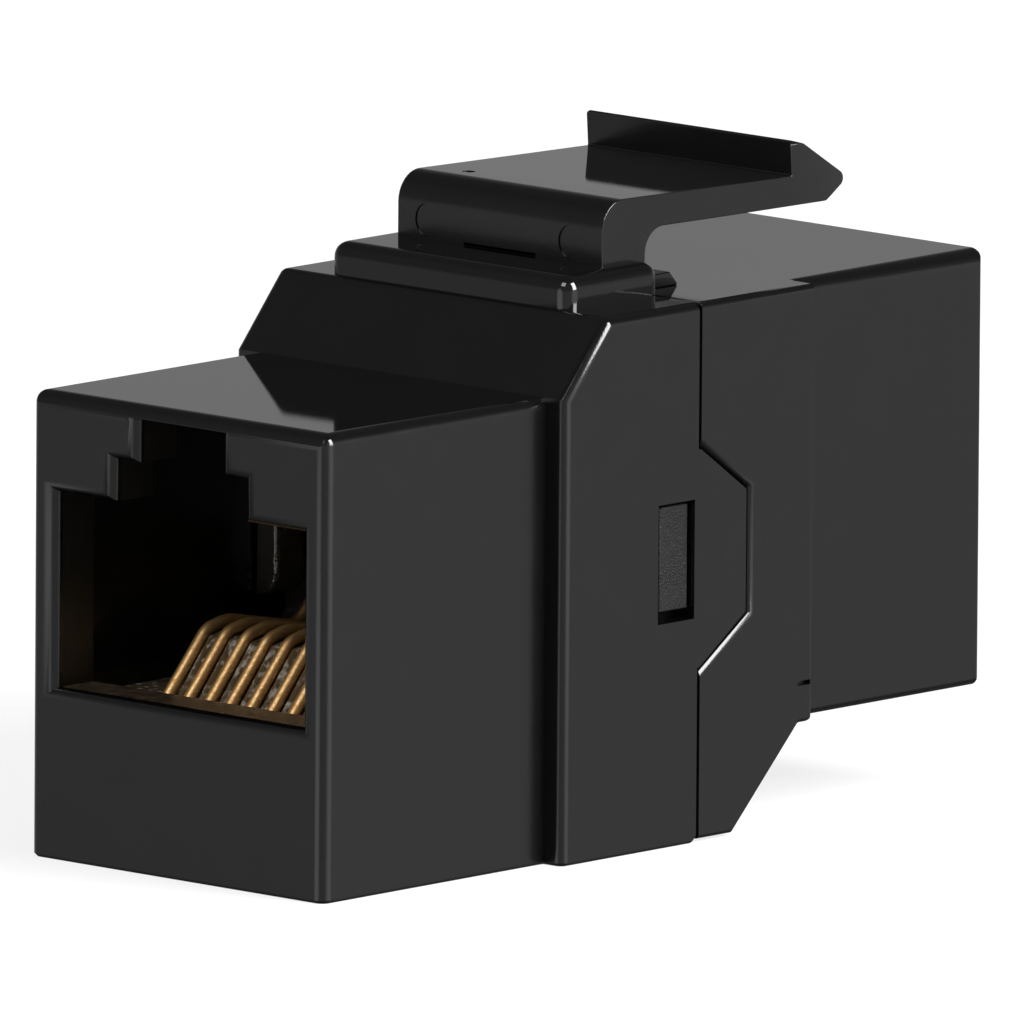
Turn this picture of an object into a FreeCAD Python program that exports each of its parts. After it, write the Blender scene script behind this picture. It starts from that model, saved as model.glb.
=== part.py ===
"""Keystone coupler: two eight-contact sockets back to back in a snap-together housing.

Millimetres, +Z up. While building, y runs from the cable face (0) to the panel face.
The finished pieces are then moved so that the origin is the bottom centre of the part.
"""
import FreeCAD, Part
import math
import os

Vector = FreeCAD.Vector

# Plug socket, the same in both ends
PLUG_WIDTH = 12.0
PLUG_HEIGHT = 7.11
TAB_STEP_WIDTH = 6.34
TAB_STEP_HEIGHT = 1.53
TAB_WIDTH = 4.06
TAB_HEIGHT = 1.55
LEAD_IN = 0.4
TAB_LEAD_IN = 0.12
FRONT_PLATE = 2.1
SILL_HEIGHT = 6.26

# Walls of the cable-side boss
PLUG_SIDE_ROOM = 0.3
BOSS_SIDE_WALL = 0.9
TAB_ROOF = 0.55
CAVITY_ROOF = 0.6
CAVITY_FLOOR = 2.25

# Lengths from the cable face to the panel face
BOSS_LENGTH = 11.65
COLLAR_LENGTH = 7.28
SEAM_GAP = 0.06
MIDDLE_LENGTH = 6.01
PANEL_BOSS_LENGTH = 10.0

# Collar, middle body and panel boss
COLLAR_STEP = 0.88
BODY_TOP = 19.7
SHOULDER_RUN = 2.32
PANEL_WIDTH = 14.5
PANEL_HEIGHT = 16.0
MIDDLE_BOTTOM = 0.12
SLOPE_START = 1.79
SLOPE_RUN = 3.53

# Edge rounding
BOSS_ROUND = 0.45
COLLAR_ROUND = 0.36
BASE_BEVEL = 0.12
MIDDLE_ROUND = 0.15
PANEL_ROUND = 0.27

# Side tongues, their windows and the snap arms behind them
TONGUE_THICKNESS = 0.9
TONGUE_LENGTH = 2.48
TONGUE_MIDDLE = 10.39
TONGUE_ROOT_HEIGHT = 7.96
TONGUE_TIP_HEIGHT = 4.43
TONGUE_GAP = 0.12
WINDOW_LENGTH = 1.95
WINDOW_HEIGHT = 4.35
WINDOW_INSET = 0.3
ARM_HEIGHT = 5.4
ARM_REACH = 2.85
ARM_PLAY = 0.15
CATCH_SINK = 0.25
CATCH_PLAY = 0.1
CATCH_TOP_PLAY = 0.14
CATCH_BOTTOM_PLAY = 0.38
CATCH_LEAD = 0.06
CATCH_RAMP = 0.3

# Release latch
FOOT_WIDTH = 11.74
FOOT_SETBACK = 0.23
FOOT_LENGTH = 4.99
FOOT_HEIGHT = 1.2
FOOT_ROUND = 0.4
FOOT_TONGUE_WIDTH = 9.5
FOOT_TONGUE_HEIGHT = 0.52
FOOT_TONGUE_LENGTH = 2.35
FOOT_TONGUE_BEVEL = 0.42
FOOT_CLEARANCE = 0.06
LATCH_WIDTH = 10.0
LEG_SETBACK = 2.75
LEG_THICKNESS = 2.3
LEG_ROUND = 1.1
LATCH_INNER_ROUND = 0.95
LATCH_HEIGHT = 2.35
ARM_THICKNESS = 1.24
LATCH_ARM_LENGTH = 7.66
LATCH_ARM_FALL = 0.22
LATCH_UNDER_FALL = 0.1
BARB_HEIGHT = 1.29
BARB_LAND = 0.8
BARB_RUN = 2.42
BARB_NOSE_BACK = 1.15
BARB_NOSE_HEIGHT = 0.75
BARB_ROUND = 0.3
SLOT_WIDTH = 3.5
SLOT_HEIGHT = 0.34
SLOT_DEPTH = 0.6
HINGE_AHEAD = 0.2
HINGE_RADIUS = 0.4
HINGE_CLEARANCE = 0.04
HINGE_RELIEF = 0.16

# Contact wires
CONTACTS = 8
PITCH = 1.016
WIRE_DIAMETER = 0.46
TIP_SETBACK = 1.05
TIP_DEPTH = 1.8
BEND_DEPTH = 0.6
SHOULDER_BACK = 3.28
SHOULDER_RISE = 1.8
CREST_BACK = 4.35
CREST_RISE = 2.02
DIP_BACK = 7.99
DIP_RISE = 1.33
CROSS_ANGLE = 45.0
TIP_BEND = 0.45
SHOULDER_BEND = 0.9
CREST_BEND = 1.8
DIP_BEND = 0.9
CROSS_BEND = 0.9
WIRE_FLATS = 8
BEND_CHORDS = 2

# Contact combs
COMB_FIT = 0.05
COMB_FLOOR = 0.42
COMB_SLOT = 0.56
COMB_SLOT_DEPTH = 1.7
COMB_SLOT_LENGTH = 1.0
COMB_SLOT_LEAD = 0.32
RIB_START = 1.37
RIB_SHOULDER_BACK = 2.83
RIB_SHOULDER_RISE = 1.19
RIB_CREST_RISE = 1.42
RIB_END_RISE = 0.8
WIRE_PLAY = 0.05
CLAMP_EASE = 0.25
CLAMP_GAP = 0.32
LOWER_BLOCK_GAP = 0.4
STOP_WIDTH = 1.1
STOP_DEPTH = 1.4
STOP_SETBACK = 8.7
STOP_DROP = 2.06
STOP_ROUND = 0.9
STOP_CLEARANCE = 0.2

# Values that follow from the sizes above
CAVITY_HALF = PLUG_WIDTH / 2 + PLUG_SIDE_ROOM
BOSS_HALF = CAVITY_HALF + BOSS_SIDE_WALL
BOSS_TOP = SILL_HEIGHT + PLUG_HEIGHT + TAB_STEP_HEIGHT + TAB_HEIGHT + TAB_ROOF
COLLAR_HALF = BOSS_HALF + COLLAR_STEP
SEAM = BOSS_LENGTH + COLLAR_LENGTH
MIDDLE_START = SEAM + SEAM_GAP
MIDDLE_END = MIDDLE_START + MIDDLE_LENGTH
LENGTH = MIDDLE_END + PANEL_BOSS_LENGTH
PANEL_HALF = PANEL_WIDTH / 2
PANEL_BOTTOM = BODY_TOP - PANEL_HEIGHT
CENTRE_Y = LENGTH / 2
CENTRE_Z = (BOSS_TOP + PANEL_BOTTOM) / 2
TONGUE_INSIDE = COLLAR_HALF - TONGUE_THICKNESS
ARM_INSIDE = CAVITY_HALF + ARM_PLAY
ARM_OUTSIDE = TONGUE_INSIDE - ARM_PLAY / 2
WINDOW_END = SEAM - WINDOW_INSET
WINDOW_START = WINDOW_END - WINDOW_LENGTH
FOOT_FRONT = BOSS_LENGTH + SHOULDER_RUN + FOOT_SETBACK
FOOT_TOP = BODY_TOP + FOOT_HEIGHT
LEG_FRONT = FOOT_FRONT + LEG_SETBACK
LEG_REAR = LEG_FRONT + LEG_THICKNESS
ARM_TOP = FOOT_TOP + LATCH_HEIGHT
ARM_UNDER = ARM_TOP - ARM_THICKNESS
HINGE_Y = LEG_REAR + LATCH_INNER_ROUND + HINGE_AHEAD
HINGE_Z = ARM_TOP - ARM_THICKNESS / 2
BARB_FRONT = LEG_REAR + LATCH_ARM_LENGTH
WIRE_RADIUS = WIRE_DIAMETER / 2
COMB_HALF = CAVITY_HALF - COMB_FIT
COMB_TOP = SILL_HEIGHT - COMB_FLOOR
COMB_BOTTOM = CAVITY_FLOOR + COMB_FIT
COMB_FRONT = FRONT_PLATE + COMB_FIT
CLAMP_TOP = CENTRE_Z - WIRE_RADIUS - WIRE_PLAY
FAR_ROOM_FLOOR = 2 * CENTRE_Z - (BOSS_TOP - CAVITY_ROOF)
CLAMP_DEPTH = CLAMP_TOP - FAR_ROOM_FLOOR - CLAMP_GAP
RIB_THICKNESS = PITCH - COMB_SLOT


def box(x, y, z):
    """Box from its three (low, high) ranges."""
    size = Vector(x[1] - x[0], y[1] - y[0], z[1] - z[0])
    return Part.makeBox(size.x, size.y, size.z, Vector(x[0], y[0], z[0]))


def side_points(outline):
    """Points of a side view, given as (y, z), on the plane x = 0."""
    return [Vector(0, y, z) for y, z in outline]


def face_points(outline, y):
    """Points of a front view, given as (x, z), on the plane at y."""
    return [Vector(x, y, z) for x, z in outline]


def rounded_wire(points, radii, closed):
    """Straight runs joined by tangent arcs; radii maps a point's index to its radius."""
    count = len(points)
    edges = []
    starts = {}
    ends = {}
    for index, corner in enumerate(points):
        radius = radii.get(index, 0)
        if not radius:
            starts[index] = corner
            ends[index] = corner
            continue
        back = (points[index - 1] - corner).normalize()
        ahead = (points[(index + 1) % count] - corner).normalize()
        half_turn = (math.pi - back.getAngle(ahead)) / 2
        reach = radius * math.tan(half_turn)
        starts[index] = corner + back * reach
        ends[index] = corner + ahead * reach
        toward = (back + ahead).normalize()
        middle = corner + toward * (radius / math.cos(half_turn) - radius)
        edges.append((index, Part.Arc(starts[index], middle, ends[index]).toShape()))
    arcs = dict(edges)
    chain = []
    for index in range(count):
        if index in arcs:
            chain.append(arcs[index])
        following = (index + 1) % count
        if following == 0 and not closed:
            break
        if ends[index].distanceToPoint(starts[following]) > 1e-6:
            chain.append(Part.LineSegment(ends[index], starts[following]).toShape())
    return Part.Wire(chain)


def prism_x(outline, x, radii=None):
    """Solid of a side-view outline between two x values, with rounded corners where given."""
    wire = rounded_wire(side_points(outline), radii or {}, True)
    solid = Part.Face(wire).extrude(Vector(x[1] - x[0], 0, 0))
    solid.translate(Vector(x[0], 0, 0))
    return solid


def prism_y(outline, y, radii=None):
    """Solid of a front-view outline between two y values, with rounded corners where given."""
    wire = rounded_wire(face_points(outline, y[0]), radii or {}, True)
    return Part.Face(wire).extrude(Vector(0, y[1] - y[0], 0))


def rounded(solid, radius, wanted):
    """Fillet the edges whose bounding box passes the test."""
    edges = [edge for edge in solid.Edges if wanted(edge.BoundBox)]
    return solid.makeFillet(radius, edges)


def bevelled(solid, reach, wanted):
    """Bevel the edges whose bounding box passes the test."""
    edges = [edge for edge in solid.Edges if wanted(edge.BoundBox)]
    return solid.makeChamfer(reach, edges)


def both_sides(solid):
    """The solid and its mirror image across x = 0."""
    return [solid, solid.mirror(Vector(0, 0, 0), Vector(1, 0, 0))]


def turned_over(solid):
    """The solid turned half round about the x axis through the middle of the coupler."""
    copy = solid.copy()
    copy.rotate(Vector(0, CENTRE_Y, CENTRE_Z), Vector(1, 0, 0), 180)
    return copy


def joined(first, *others):
    """One clean solid from pieces that overlap."""
    return first.fuse(list(others)).removeSplitter()


def socket_outline(grow, roof_grow):
    """Stepped opening for a plug and its tab, as (x, z), grown by the lead-in."""
    tab_base = SILL_HEIGHT + PLUG_HEIGHT
    tab_step = tab_base + TAB_STEP_HEIGHT
    right = [
        (PLUG_WIDTH / 2 + grow, SILL_HEIGHT - grow),
        (PLUG_WIDTH / 2 + grow, tab_base + grow),
        (TAB_STEP_WIDTH / 2 + grow, tab_base + grow),
        (TAB_STEP_WIDTH / 2 + grow, tab_step + grow),
        (TAB_WIDTH / 2 + grow, tab_step + grow),
        (TAB_WIDTH / 2 + grow, tab_step + TAB_HEIGHT + roof_grow),
    ]
    return right + [(-x, z) for x, z in reversed(right)]


def socket_cutter():
    """Everything removed for one socket: lead-in, stepped mouth and the room behind it."""
    outer = face_points(socket_outline(LEAD_IN, TAB_LEAD_IN), 0)
    inner = face_points(socket_outline(0, 0), LEAD_IN)
    rims = [Part.makePolygon(points + points[:1]) for points in (outer, inner)]
    lead_in = Part.makeLoft(rims, True, True)
    mouth = prism_y(socket_outline(0, 0), (LEAD_IN, FRONT_PLATE))
    return joined(lead_in, mouth)


def socket_room(end):
    """Hollow behind the front plate, back to the y value given."""
    roof = BOSS_TOP - CAVITY_ROOF
    return box((-CAVITY_HALF, CAVITY_HALF), (FRONT_PLATE, end), (CAVITY_FLOOR, roof))


def tongue_outline(gap):
    """Side view of a tongue: a half hexagon that reaches past the seam, grown by a gap."""
    root = TONGUE_ROOT_HEIGHT / 2 + gap
    tip = TONGUE_TIP_HEIGHT / 2 + gap / 2
    reach = SEAM + TONGUE_LENGTH + gap
    start = SEAM - WINDOW_INSET
    half = [(start, -root), (SEAM, -root), (reach, -tip)]
    outline = half + [(y, -z) for y, z in reversed(half)]
    return [(y, TONGUE_MIDDLE + z) for y, z in outline]


def cable_side_shell():
    """Outside of the near half: boss, sloped collar and foot plate of the latch."""
    boss = box((-BOSS_HALF, BOSS_HALF), (0, SEAM), (0, BOSS_TOP))
    boss = rounded(boss, BOSS_ROUND, boss_edge_is_round)
    boss = bevelled(boss, BASE_BEVEL, lambda b: b.ZMax < BASE_BEVEL and b.YMin < SEAM - BOSS_ROUND)
    collar = prism_x(
        [
            (BOSS_LENGTH, 0),
            (SEAM, 0),
            (SEAM, BODY_TOP),
            (BOSS_LENGTH + SHOULDER_RUN, BODY_TOP),
            (BOSS_LENGTH, BOSS_TOP),
        ],
        (-COLLAR_HALF, COLLAR_HALF),
    )
    collar = rounded(collar, COLLAR_ROUND, collar_edge_is_round)
    collar = bevelled(collar, BASE_BEVEL, lambda b: b.ZMax < BASE_BEVEL and b.YMin < SEAM - COLLAR_ROUND)
    return joined(collar, boss)


def boss_edge_is_round(bounds):
    """True for the boss's outer edges, apart from its base and its buried end."""
    return bounds.ZMax > BOSS_ROUND and bounds.YMin < SEAM - BOSS_ROUND


def collar_edge_is_round(bounds):
    """True for the collar's outer edges, apart from its base, its rim at the seam and the boss roof."""
    at_seam = bounds.YMin > SEAM - COLLAR_ROUND
    at_boss_roof = bounds.ZLength < COLLAR_ROUND and abs(bounds.ZMin - BOSS_TOP) < COLLAR_ROUND
    at_base = bounds.ZMax < COLLAR_ROUND
    return at_seam and at_base or not (at_seam or at_boss_roof or at_base)


def latch_foot():
    """Foot plate on the collar and its thinner tongue over the far half."""
    plate = box(
        (-FOOT_WIDTH / 2, FOOT_WIDTH / 2),
        (FOOT_FRONT, FOOT_FRONT + FOOT_LENGTH),
        (BODY_TOP + FOOT_CLEARANCE, FOOT_TOP),
    )
    plate = rounded(plate, FOOT_ROUND, lambda b: b.ZMax > BODY_TOP + FOOT_ROUND)
    seat = box(
        (-FOOT_WIDTH / 2, FOOT_WIDTH / 2),
        (FOOT_FRONT, SEAM),
        (BODY_TOP - FOOT_CLEARANCE, BODY_TOP + 2 * FOOT_CLEARANCE),
    )
    tongue_top = BODY_TOP + FOOT_TONGUE_HEIGHT
    tongue_end = SEAM + FOOT_TONGUE_LENGTH
    tongue = prism_x(
        [
            (LEG_FRONT, BODY_TOP + FOOT_CLEARANCE),
            (tongue_end, BODY_TOP + FOOT_CLEARANCE),
            (tongue_end - FOOT_TONGUE_BEVEL, tongue_top),
            (LEG_FRONT, tongue_top),
        ],
        (-FOOT_TONGUE_WIDTH / 2, FOOT_TONGUE_WIDTH / 2),
    )
    return joined(plate, seat, tongue)


def latch_leg():
    """Upright of the latch with the stub that carries the arm."""
    outline = [
        (LEG_FRONT, BODY_TOP + FOOT_CLEARANCE),
        (LEG_FRONT, ARM_TOP),
        (HINGE_Y, ARM_TOP),
        (HINGE_Y, ARM_UNDER),
        (LEG_REAR, ARM_UNDER),
        (LEG_REAR, BODY_TOP + FOOT_CLEARANCE),
    ]
    leg = prism_x(outline, (-LATCH_WIDTH / 2, LATCH_WIDTH / 2), {1: LEG_ROUND, 4: LATCH_INNER_ROUND})
    groove = hinge_rod(HINGE_RADIUS + HINGE_CLEARANCE)
    slot = box(
        (-SLOT_WIDTH / 2, SLOT_WIDTH / 2),
        (LEG_FRONT, LEG_FRONT + SLOT_DEPTH),
        (FOOT_TOP, FOOT_TOP + SLOT_HEIGHT),
    )
    return leg.cut([groove, slot])


def hinge_rod(radius):
    """Rod along the line that the latch arm bends about."""
    start = Vector(-LATCH_WIDTH / 2, HINGE_Y, HINGE_Z)
    return Part.makeCylinder(radius, LATCH_WIDTH, start, Vector(1, 0, 0))


def latch_arm():
    """Springy arm with its barb: upright catch face, flat land and long lead-in behind."""
    top_end = ARM_TOP - LATCH_ARM_FALL
    under_end = ARM_UNDER - LATCH_UNDER_FALL
    barb_top = top_end + BARB_HEIGHT
    nose = BARB_FRONT + BARB_LAND + BARB_RUN
    start = HINGE_Y + HINGE_CLEARANCE
    outline = [
        (start, ARM_TOP),
        (BARB_FRONT, top_end),
        (BARB_FRONT, barb_top),
        (BARB_FRONT + BARB_LAND, barb_top),
        (nose, under_end + BARB_NOSE_HEIGHT),
        (nose - BARB_NOSE_BACK, under_end),
        (start + HINGE_RELIEF, ARM_UNDER),
        (start, HINGE_Z - HINGE_RADIUS / 2),
    ]
    arm = prism_x(outline, (-LATCH_WIDTH / 2, LATCH_WIDTH / 2), {3: BARB_ROUND, 4: BARB_ROUND, 5: BARB_ROUND})
    return joined(arm, hinge_rod(HINGE_RADIUS))


def cable_side_housing():
    """Near half, with its socket, tongues, windows and the channels for the snap arms."""
    tongue = prism_x(tongue_outline(0), (TONGUE_INSIDE, COLLAR_HALF))
    channel_height = ARM_HEIGHT + 2 * ARM_PLAY
    channel = box(
        (CAVITY_HALF - ARM_PLAY, TONGUE_INSIDE),
        (SEAM - ARM_REACH - ARM_PLAY, SEAM),
        (TONGUE_MIDDLE - channel_height / 2, TONGUE_MIDDLE + channel_height / 2),
    )
    window = box(
        (TONGUE_INSIDE - ARM_PLAY, COLLAR_HALF + ARM_PLAY),
        (WINDOW_START, WINDOW_END),
        (TONGUE_MIDDLE - WINDOW_HEIGHT / 2, TONGUE_MIDDLE + WINDOW_HEIGHT / 2),
    )
    shell = joined(cable_side_shell(), latch_foot(), latch_leg(), *both_sides(tongue))
    cutters = [socket_cutter(), socket_room(SEAM), *both_sides(channel), *both_sides(window)]
    return shell.cut(cutters).removeSplitter()


def snap_arm():
    """One forward arm of the far half with the catch block that fills a window."""
    reach = SEAM - ARM_REACH
    arm = box(
        (ARM_INSIDE, ARM_OUTSIDE),
        (reach, MIDDLE_START + TONGUE_LENGTH),
        (TONGUE_MIDDLE - ARM_HEIGHT / 2, TONGUE_MIDDLE + ARM_HEIGHT / 2),
    )
    face = COLLAR_HALF - CATCH_SINK
    catch_end = WINDOW_END - CATCH_PLAY
    catch_start = WINDOW_START + CATCH_LEAD
    bottom = TONGUE_MIDDLE - WINDOW_HEIGHT / 2 + CATCH_BOTTOM_PLAY
    height = WINDOW_HEIGHT - CATCH_BOTTOM_PLAY - CATCH_TOP_PLAY
    corners = [
        (ARM_OUTSIDE, catch_start),
        (face, catch_start + CATCH_RAMP),
        (face, catch_end),
        (ARM_OUTSIDE, catch_end),
        (ARM_INSIDE, catch_end),
        (ARM_INSIDE, catch_start),
    ]
    points = [Vector(x, y, bottom) for x, y in corners]
    outline = Part.makePolygon(points + points[:1])
    catch = Part.Face(outline).extrude(Vector(0, 0, height))
    return joined(arm, catch)


def panel_side_shell():
    """Outside of the far half: middle body with its sloped underside, and the panel boss."""
    slope_start = MIDDLE_START + SLOPE_START
    middle = prism_x(
        [
            (MIDDLE_START, MIDDLE_BOTTOM),
            (slope_start, MIDDLE_BOTTOM),
            (slope_start + SLOPE_RUN, PANEL_BOTTOM),
            (MIDDLE_END, PANEL_BOTTOM),
            (MIDDLE_END, BODY_TOP),
            (MIDDLE_START, BODY_TOP),
        ],
        (-COLLAR_HALF, COLLAR_HALF),
    )
    middle = rounded(middle, MIDDLE_ROUND, lambda b: b.YMax > MIDDLE_START + MIDDLE_ROUND)
    boss = box((-PANEL_HALF, PANEL_HALF), (MIDDLE_START, LENGTH), (PANEL_BOTTOM, BODY_TOP))
    boss = rounded(boss, PANEL_ROUND, panel_edge_is_round)
    return joined(middle, boss)


def panel_edge_is_round(bounds):
    """True for the panel boss's outer edges, apart from its buried end and the top of its panel face."""
    top_of_face = bounds.YMin > LENGTH - PANEL_ROUND and bounds.ZMin > BODY_TOP - PANEL_ROUND
    return bounds.YMax > MIDDLE_START + PANEL_ROUND and not top_of_face


def panel_side_housing():
    """Far half, with its turned-over socket, tongue recesses and snap arms."""
    recess = prism_x(tongue_outline(TONGUE_GAP), (ARM_OUTSIDE, COLLAR_HALF + TONGUE_GAP))
    room = turned_over(socket_room(LENGTH - MIDDLE_START + SEAM_GAP))
    shell = panel_side_shell().cut([turned_over(socket_cutter()), room, *both_sides(recess)])
    return joined(shell, *both_sides(snap_arm()))


def wire_path():
    """Side view of a contact wire: one half by points, the other half turned over."""
    back = COMB_FRONT + TIP_SETBACK
    rise = CENTRE_Z - SILL_HEIGHT - DIP_RISE
    half = [
        (back, COMB_TOP - TIP_DEPTH + COMB_FLOOR),
        (back, SILL_HEIGHT - BEND_DEPTH),
        (FRONT_PLATE + SHOULDER_BACK, SILL_HEIGHT + SHOULDER_RISE),
        (FRONT_PLATE + CREST_BACK, SILL_HEIGHT + CREST_RISE),
        (FRONT_PLATE + DIP_BACK, SILL_HEIGHT + DIP_RISE),
        (FRONT_PLATE + DIP_BACK + rise / math.tan(math.radians(CROSS_ANGLE)), CENTRE_Z),
    ]
    other = [(2 * CENTRE_Y - y, 2 * CENTRE_Z - z) for y, z in reversed(half)]
    return half + other


def bent_line(path):
    """The path as short straight runs, each bend cut into a few chords."""
    line = [path.OrderedVertexes[0].Point]
    for edge in path.OrderedEdges:
        straight = isinstance(edge.Curve, Part.Line)
        run = edge.discretize(2 if straight else BEND_CHORDS + 1)
        if run[-1].distanceToPoint(line[-1]) < run[0].distanceToPoint(line[-1]):
            run.reverse()
        line += run[1:]
    return Part.makePolygon(line)


def wire_section(centre):
    """Section of a contact wire where it starts, drawn with flats on a level plane."""
    corner_radius = WIRE_RADIUS / math.cos(math.pi / WIRE_FLATS)
    corners = []
    for index in range(WIRE_FLATS):
        turn = 2 * math.pi * (index + 0.5) / WIRE_FLATS
        corners.append(centre + Vector(math.cos(turn), math.sin(turn), 0) * corner_radius)
    return Part.makePolygon(corners + corners[:1])


def contact_wire(x):
    """One formed contact wire at the x value given."""
    points = side_points(wire_path())
    bends = [TIP_BEND, SHOULDER_BEND, CREST_BEND, DIP_BEND, CROSS_BEND]
    last = len(points) - 1
    radii = {}
    for index, radius in enumerate(bends, start=1):
        radii[index] = radius
        radii[last - index] = radius
    path = bent_line(rounded_wire(points, radii, False))
    right_corners = 1
    wire = path.makePipeShell([wire_section(points[0])], True, False, right_corners)
    wire.translate(Vector(x, 0, 0))
    return wire


def comb_ribs():
    """Thin walls between the wires, following the wires' slope from below."""
    front = FRONT_PLATE + RIB_START
    rib_end = FRONT_PLATE + DIP_BACK + COMB_SLOT
    outline = [
        (front, COMB_TOP - COMB_FIT),
        (FRONT_PLATE + RIB_SHOULDER_BACK, SILL_HEIGHT + RIB_SHOULDER_RISE),
        (FRONT_PLATE + CREST_BACK, SILL_HEIGHT + RIB_CREST_RISE),
        (FRONT_PLATE + DIP_BACK, SILL_HEIGHT + RIB_END_RISE),
        (rib_end, SILL_HEIGHT + RIB_END_RISE),
        (rib_end, COMB_TOP - COMB_FIT),
    ]
    ribs = []
    for index in range(1, CONTACTS):
        x = (index - CONTACTS / 2) * PITCH
        ribs.append(prism_x(outline, (x - RIB_THICKNESS / 2, x + RIB_THICKNESS / 2)))
    return ribs


def wire_places():
    """The x value of each contact wire."""
    return [(index - (CONTACTS - 1) / 2) * PITCH for index in range(CONTACTS)]


def contact_comb():
    """Carrier of the near socket: floor with wire slots, ribs, clamp block and plug stops."""
    cross = wire_path()[5][0]
    below_wire = (WIRE_RADIUS + WIRE_PLAY) * math.tan(math.radians(CROSS_ANGLE / 2))
    clamp_front = cross + below_wire + CLAMP_EASE
    stop_front = FRONT_PLATE + STOP_SETBACK
    stop_back = LENGTH - stop_front
    clamp_rear = stop_back - STOP_DEPTH + STOP_CLEARANCE
    slope_foot = FRONT_PLATE + DIP_BACK + COMB_SLOT
    slope_rise = (clamp_front - slope_foot) * math.tan(math.radians(CROSS_ANGLE))
    lower_rear = min(SEAM, LENGTH - MIDDLE_START) - LOWER_BLOCK_GAP
    clamp_bottom = CLAMP_TOP - CLAMP_DEPTH
    body = prism_x(
        [
            (COMB_FRONT, COMB_BOTTOM),
            (lower_rear, COMB_BOTTOM),
            (lower_rear, clamp_bottom),
            (clamp_rear, clamp_bottom),
            (clamp_rear, CLAMP_TOP),
            (clamp_front, CLAMP_TOP),
            (slope_foot, CLAMP_TOP - slope_rise),
            (slope_foot, COMB_TOP),
            (COMB_FRONT, COMB_TOP),
        ],
        (-COMB_HALF, COMB_HALF),
    )
    inner = COMB_HALF - STOP_WIDTH
    stop_top = 2 * CENTRE_Z - SILL_HEIGHT - STOP_DROP
    corner_room = box(
        (inner - STOP_CLEARANCE, COMB_HALF + COMB_FIT),
        (slope_foot - COMB_SLOT, stop_front + STOP_DEPTH + STOP_CLEARANCE),
        (COMB_TOP, CENTRE_Z),
    )
    stop = prism_y(
        [(inner, clamp_bottom), (COMB_HALF, clamp_bottom), (COMB_HALF, stop_top), (inner, stop_top)],
        (stop_back - STOP_DEPTH, stop_back),
        {3: STOP_ROUND},
    )
    slots = []
    for x in wire_places():
        slot_start = COMB_FRONT + TIP_SETBACK - COMB_SLOT_LEAD
        slots.append(
            box(
                (x - COMB_SLOT / 2, x + COMB_SLOT / 2),
                (slot_start, slot_start + COMB_SLOT_LENGTH),
                (COMB_TOP - COMB_SLOT_DEPTH, COMB_TOP + COMB_FIT),
            )
        )
    body = body.cut(both_sides(corner_room) + slots)
    return joined(body, *comb_ribs(), *both_sides(stop))


def main():
    """Build every piece, move it to the part's own frame and write it out."""
    os.makedirs("parts", exist_ok=True)
    comb = contact_comb()
    pieces = {
        "cable_side_housing": cable_side_housing(),
        "panel_side_housing": panel_side_housing(),
        "latch_arm": latch_arm(),
        "cable_side_comb": comb,
        "panel_side_comb": turned_over(comb),
    }
    for number, x in enumerate(wire_places(), start=1):
        pieces[f"contact_wire_{number}"] = contact_wire(x)
    for name, shape in pieces.items():
        shape.translate(Vector(0, -CENTRE_Y, 0))
        shape.exportStep(f"parts/{name}.step")
        print(name, len(shape.Solids), shape.isValid(), round(shape.Volume, 2))


main()
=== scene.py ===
"""Keystone coupler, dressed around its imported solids: mouldings, contact wires, studio and camera."""
import logging
import math
from dataclasses import dataclass, replace
from enum import Enum
from typing import Any, Iterable, Sequence

import bmesh
import bpy
from mathutils import Matrix, Vector


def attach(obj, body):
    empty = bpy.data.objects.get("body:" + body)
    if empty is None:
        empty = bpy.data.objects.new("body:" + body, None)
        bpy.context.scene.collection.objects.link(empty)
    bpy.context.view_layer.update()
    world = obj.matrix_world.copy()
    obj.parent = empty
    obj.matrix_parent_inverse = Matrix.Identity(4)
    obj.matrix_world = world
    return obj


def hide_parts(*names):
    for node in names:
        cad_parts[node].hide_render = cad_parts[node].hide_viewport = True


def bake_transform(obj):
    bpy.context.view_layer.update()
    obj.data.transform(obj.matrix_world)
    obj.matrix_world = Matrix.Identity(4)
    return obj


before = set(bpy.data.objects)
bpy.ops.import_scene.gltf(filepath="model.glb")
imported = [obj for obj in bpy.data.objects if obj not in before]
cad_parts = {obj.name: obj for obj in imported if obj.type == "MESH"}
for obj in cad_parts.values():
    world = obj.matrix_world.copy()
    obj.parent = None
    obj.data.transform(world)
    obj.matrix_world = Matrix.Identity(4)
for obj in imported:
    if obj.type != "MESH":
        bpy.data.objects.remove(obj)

LOG = logging.getLogger("keystone_coupler")
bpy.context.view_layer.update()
MM = 0.001
WELD = 0.0002
NEAR = 0.01
SIDES = (-1.0, 1.0)

Colour = tuple[float, float, float]
Point = tuple[float, float]

# The point (y, z) in mm that the far socket's pieces are turned over about
TURN_POINT: Point = (0.0, 10.35)

# Sockets of a colour Mix node
MIX_SHARE, MIX_LOW, MIX_HIGH, MIX_RESULT = 0, 6, 7, 2


class Body(Enum):
    """The bodies that pieces ride on."""

    COUPLER = "coupler_body"
    LATCH = "latch"


class Slot(Enum):
    """The record's material slots."""

    HOUSING = "housing"
    COMB = "comb"
    CONTACT = "contact"


class Join(Enum):
    """How one closed mesh is combined with another."""

    UNION = "UNION"
    CUT = "DIFFERENCE"


class SocketPart(Enum):
    """The parts of a socket, in the order of their finishes."""

    MOUTH = 0
    SILL = 1
    ROOM = 2


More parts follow.
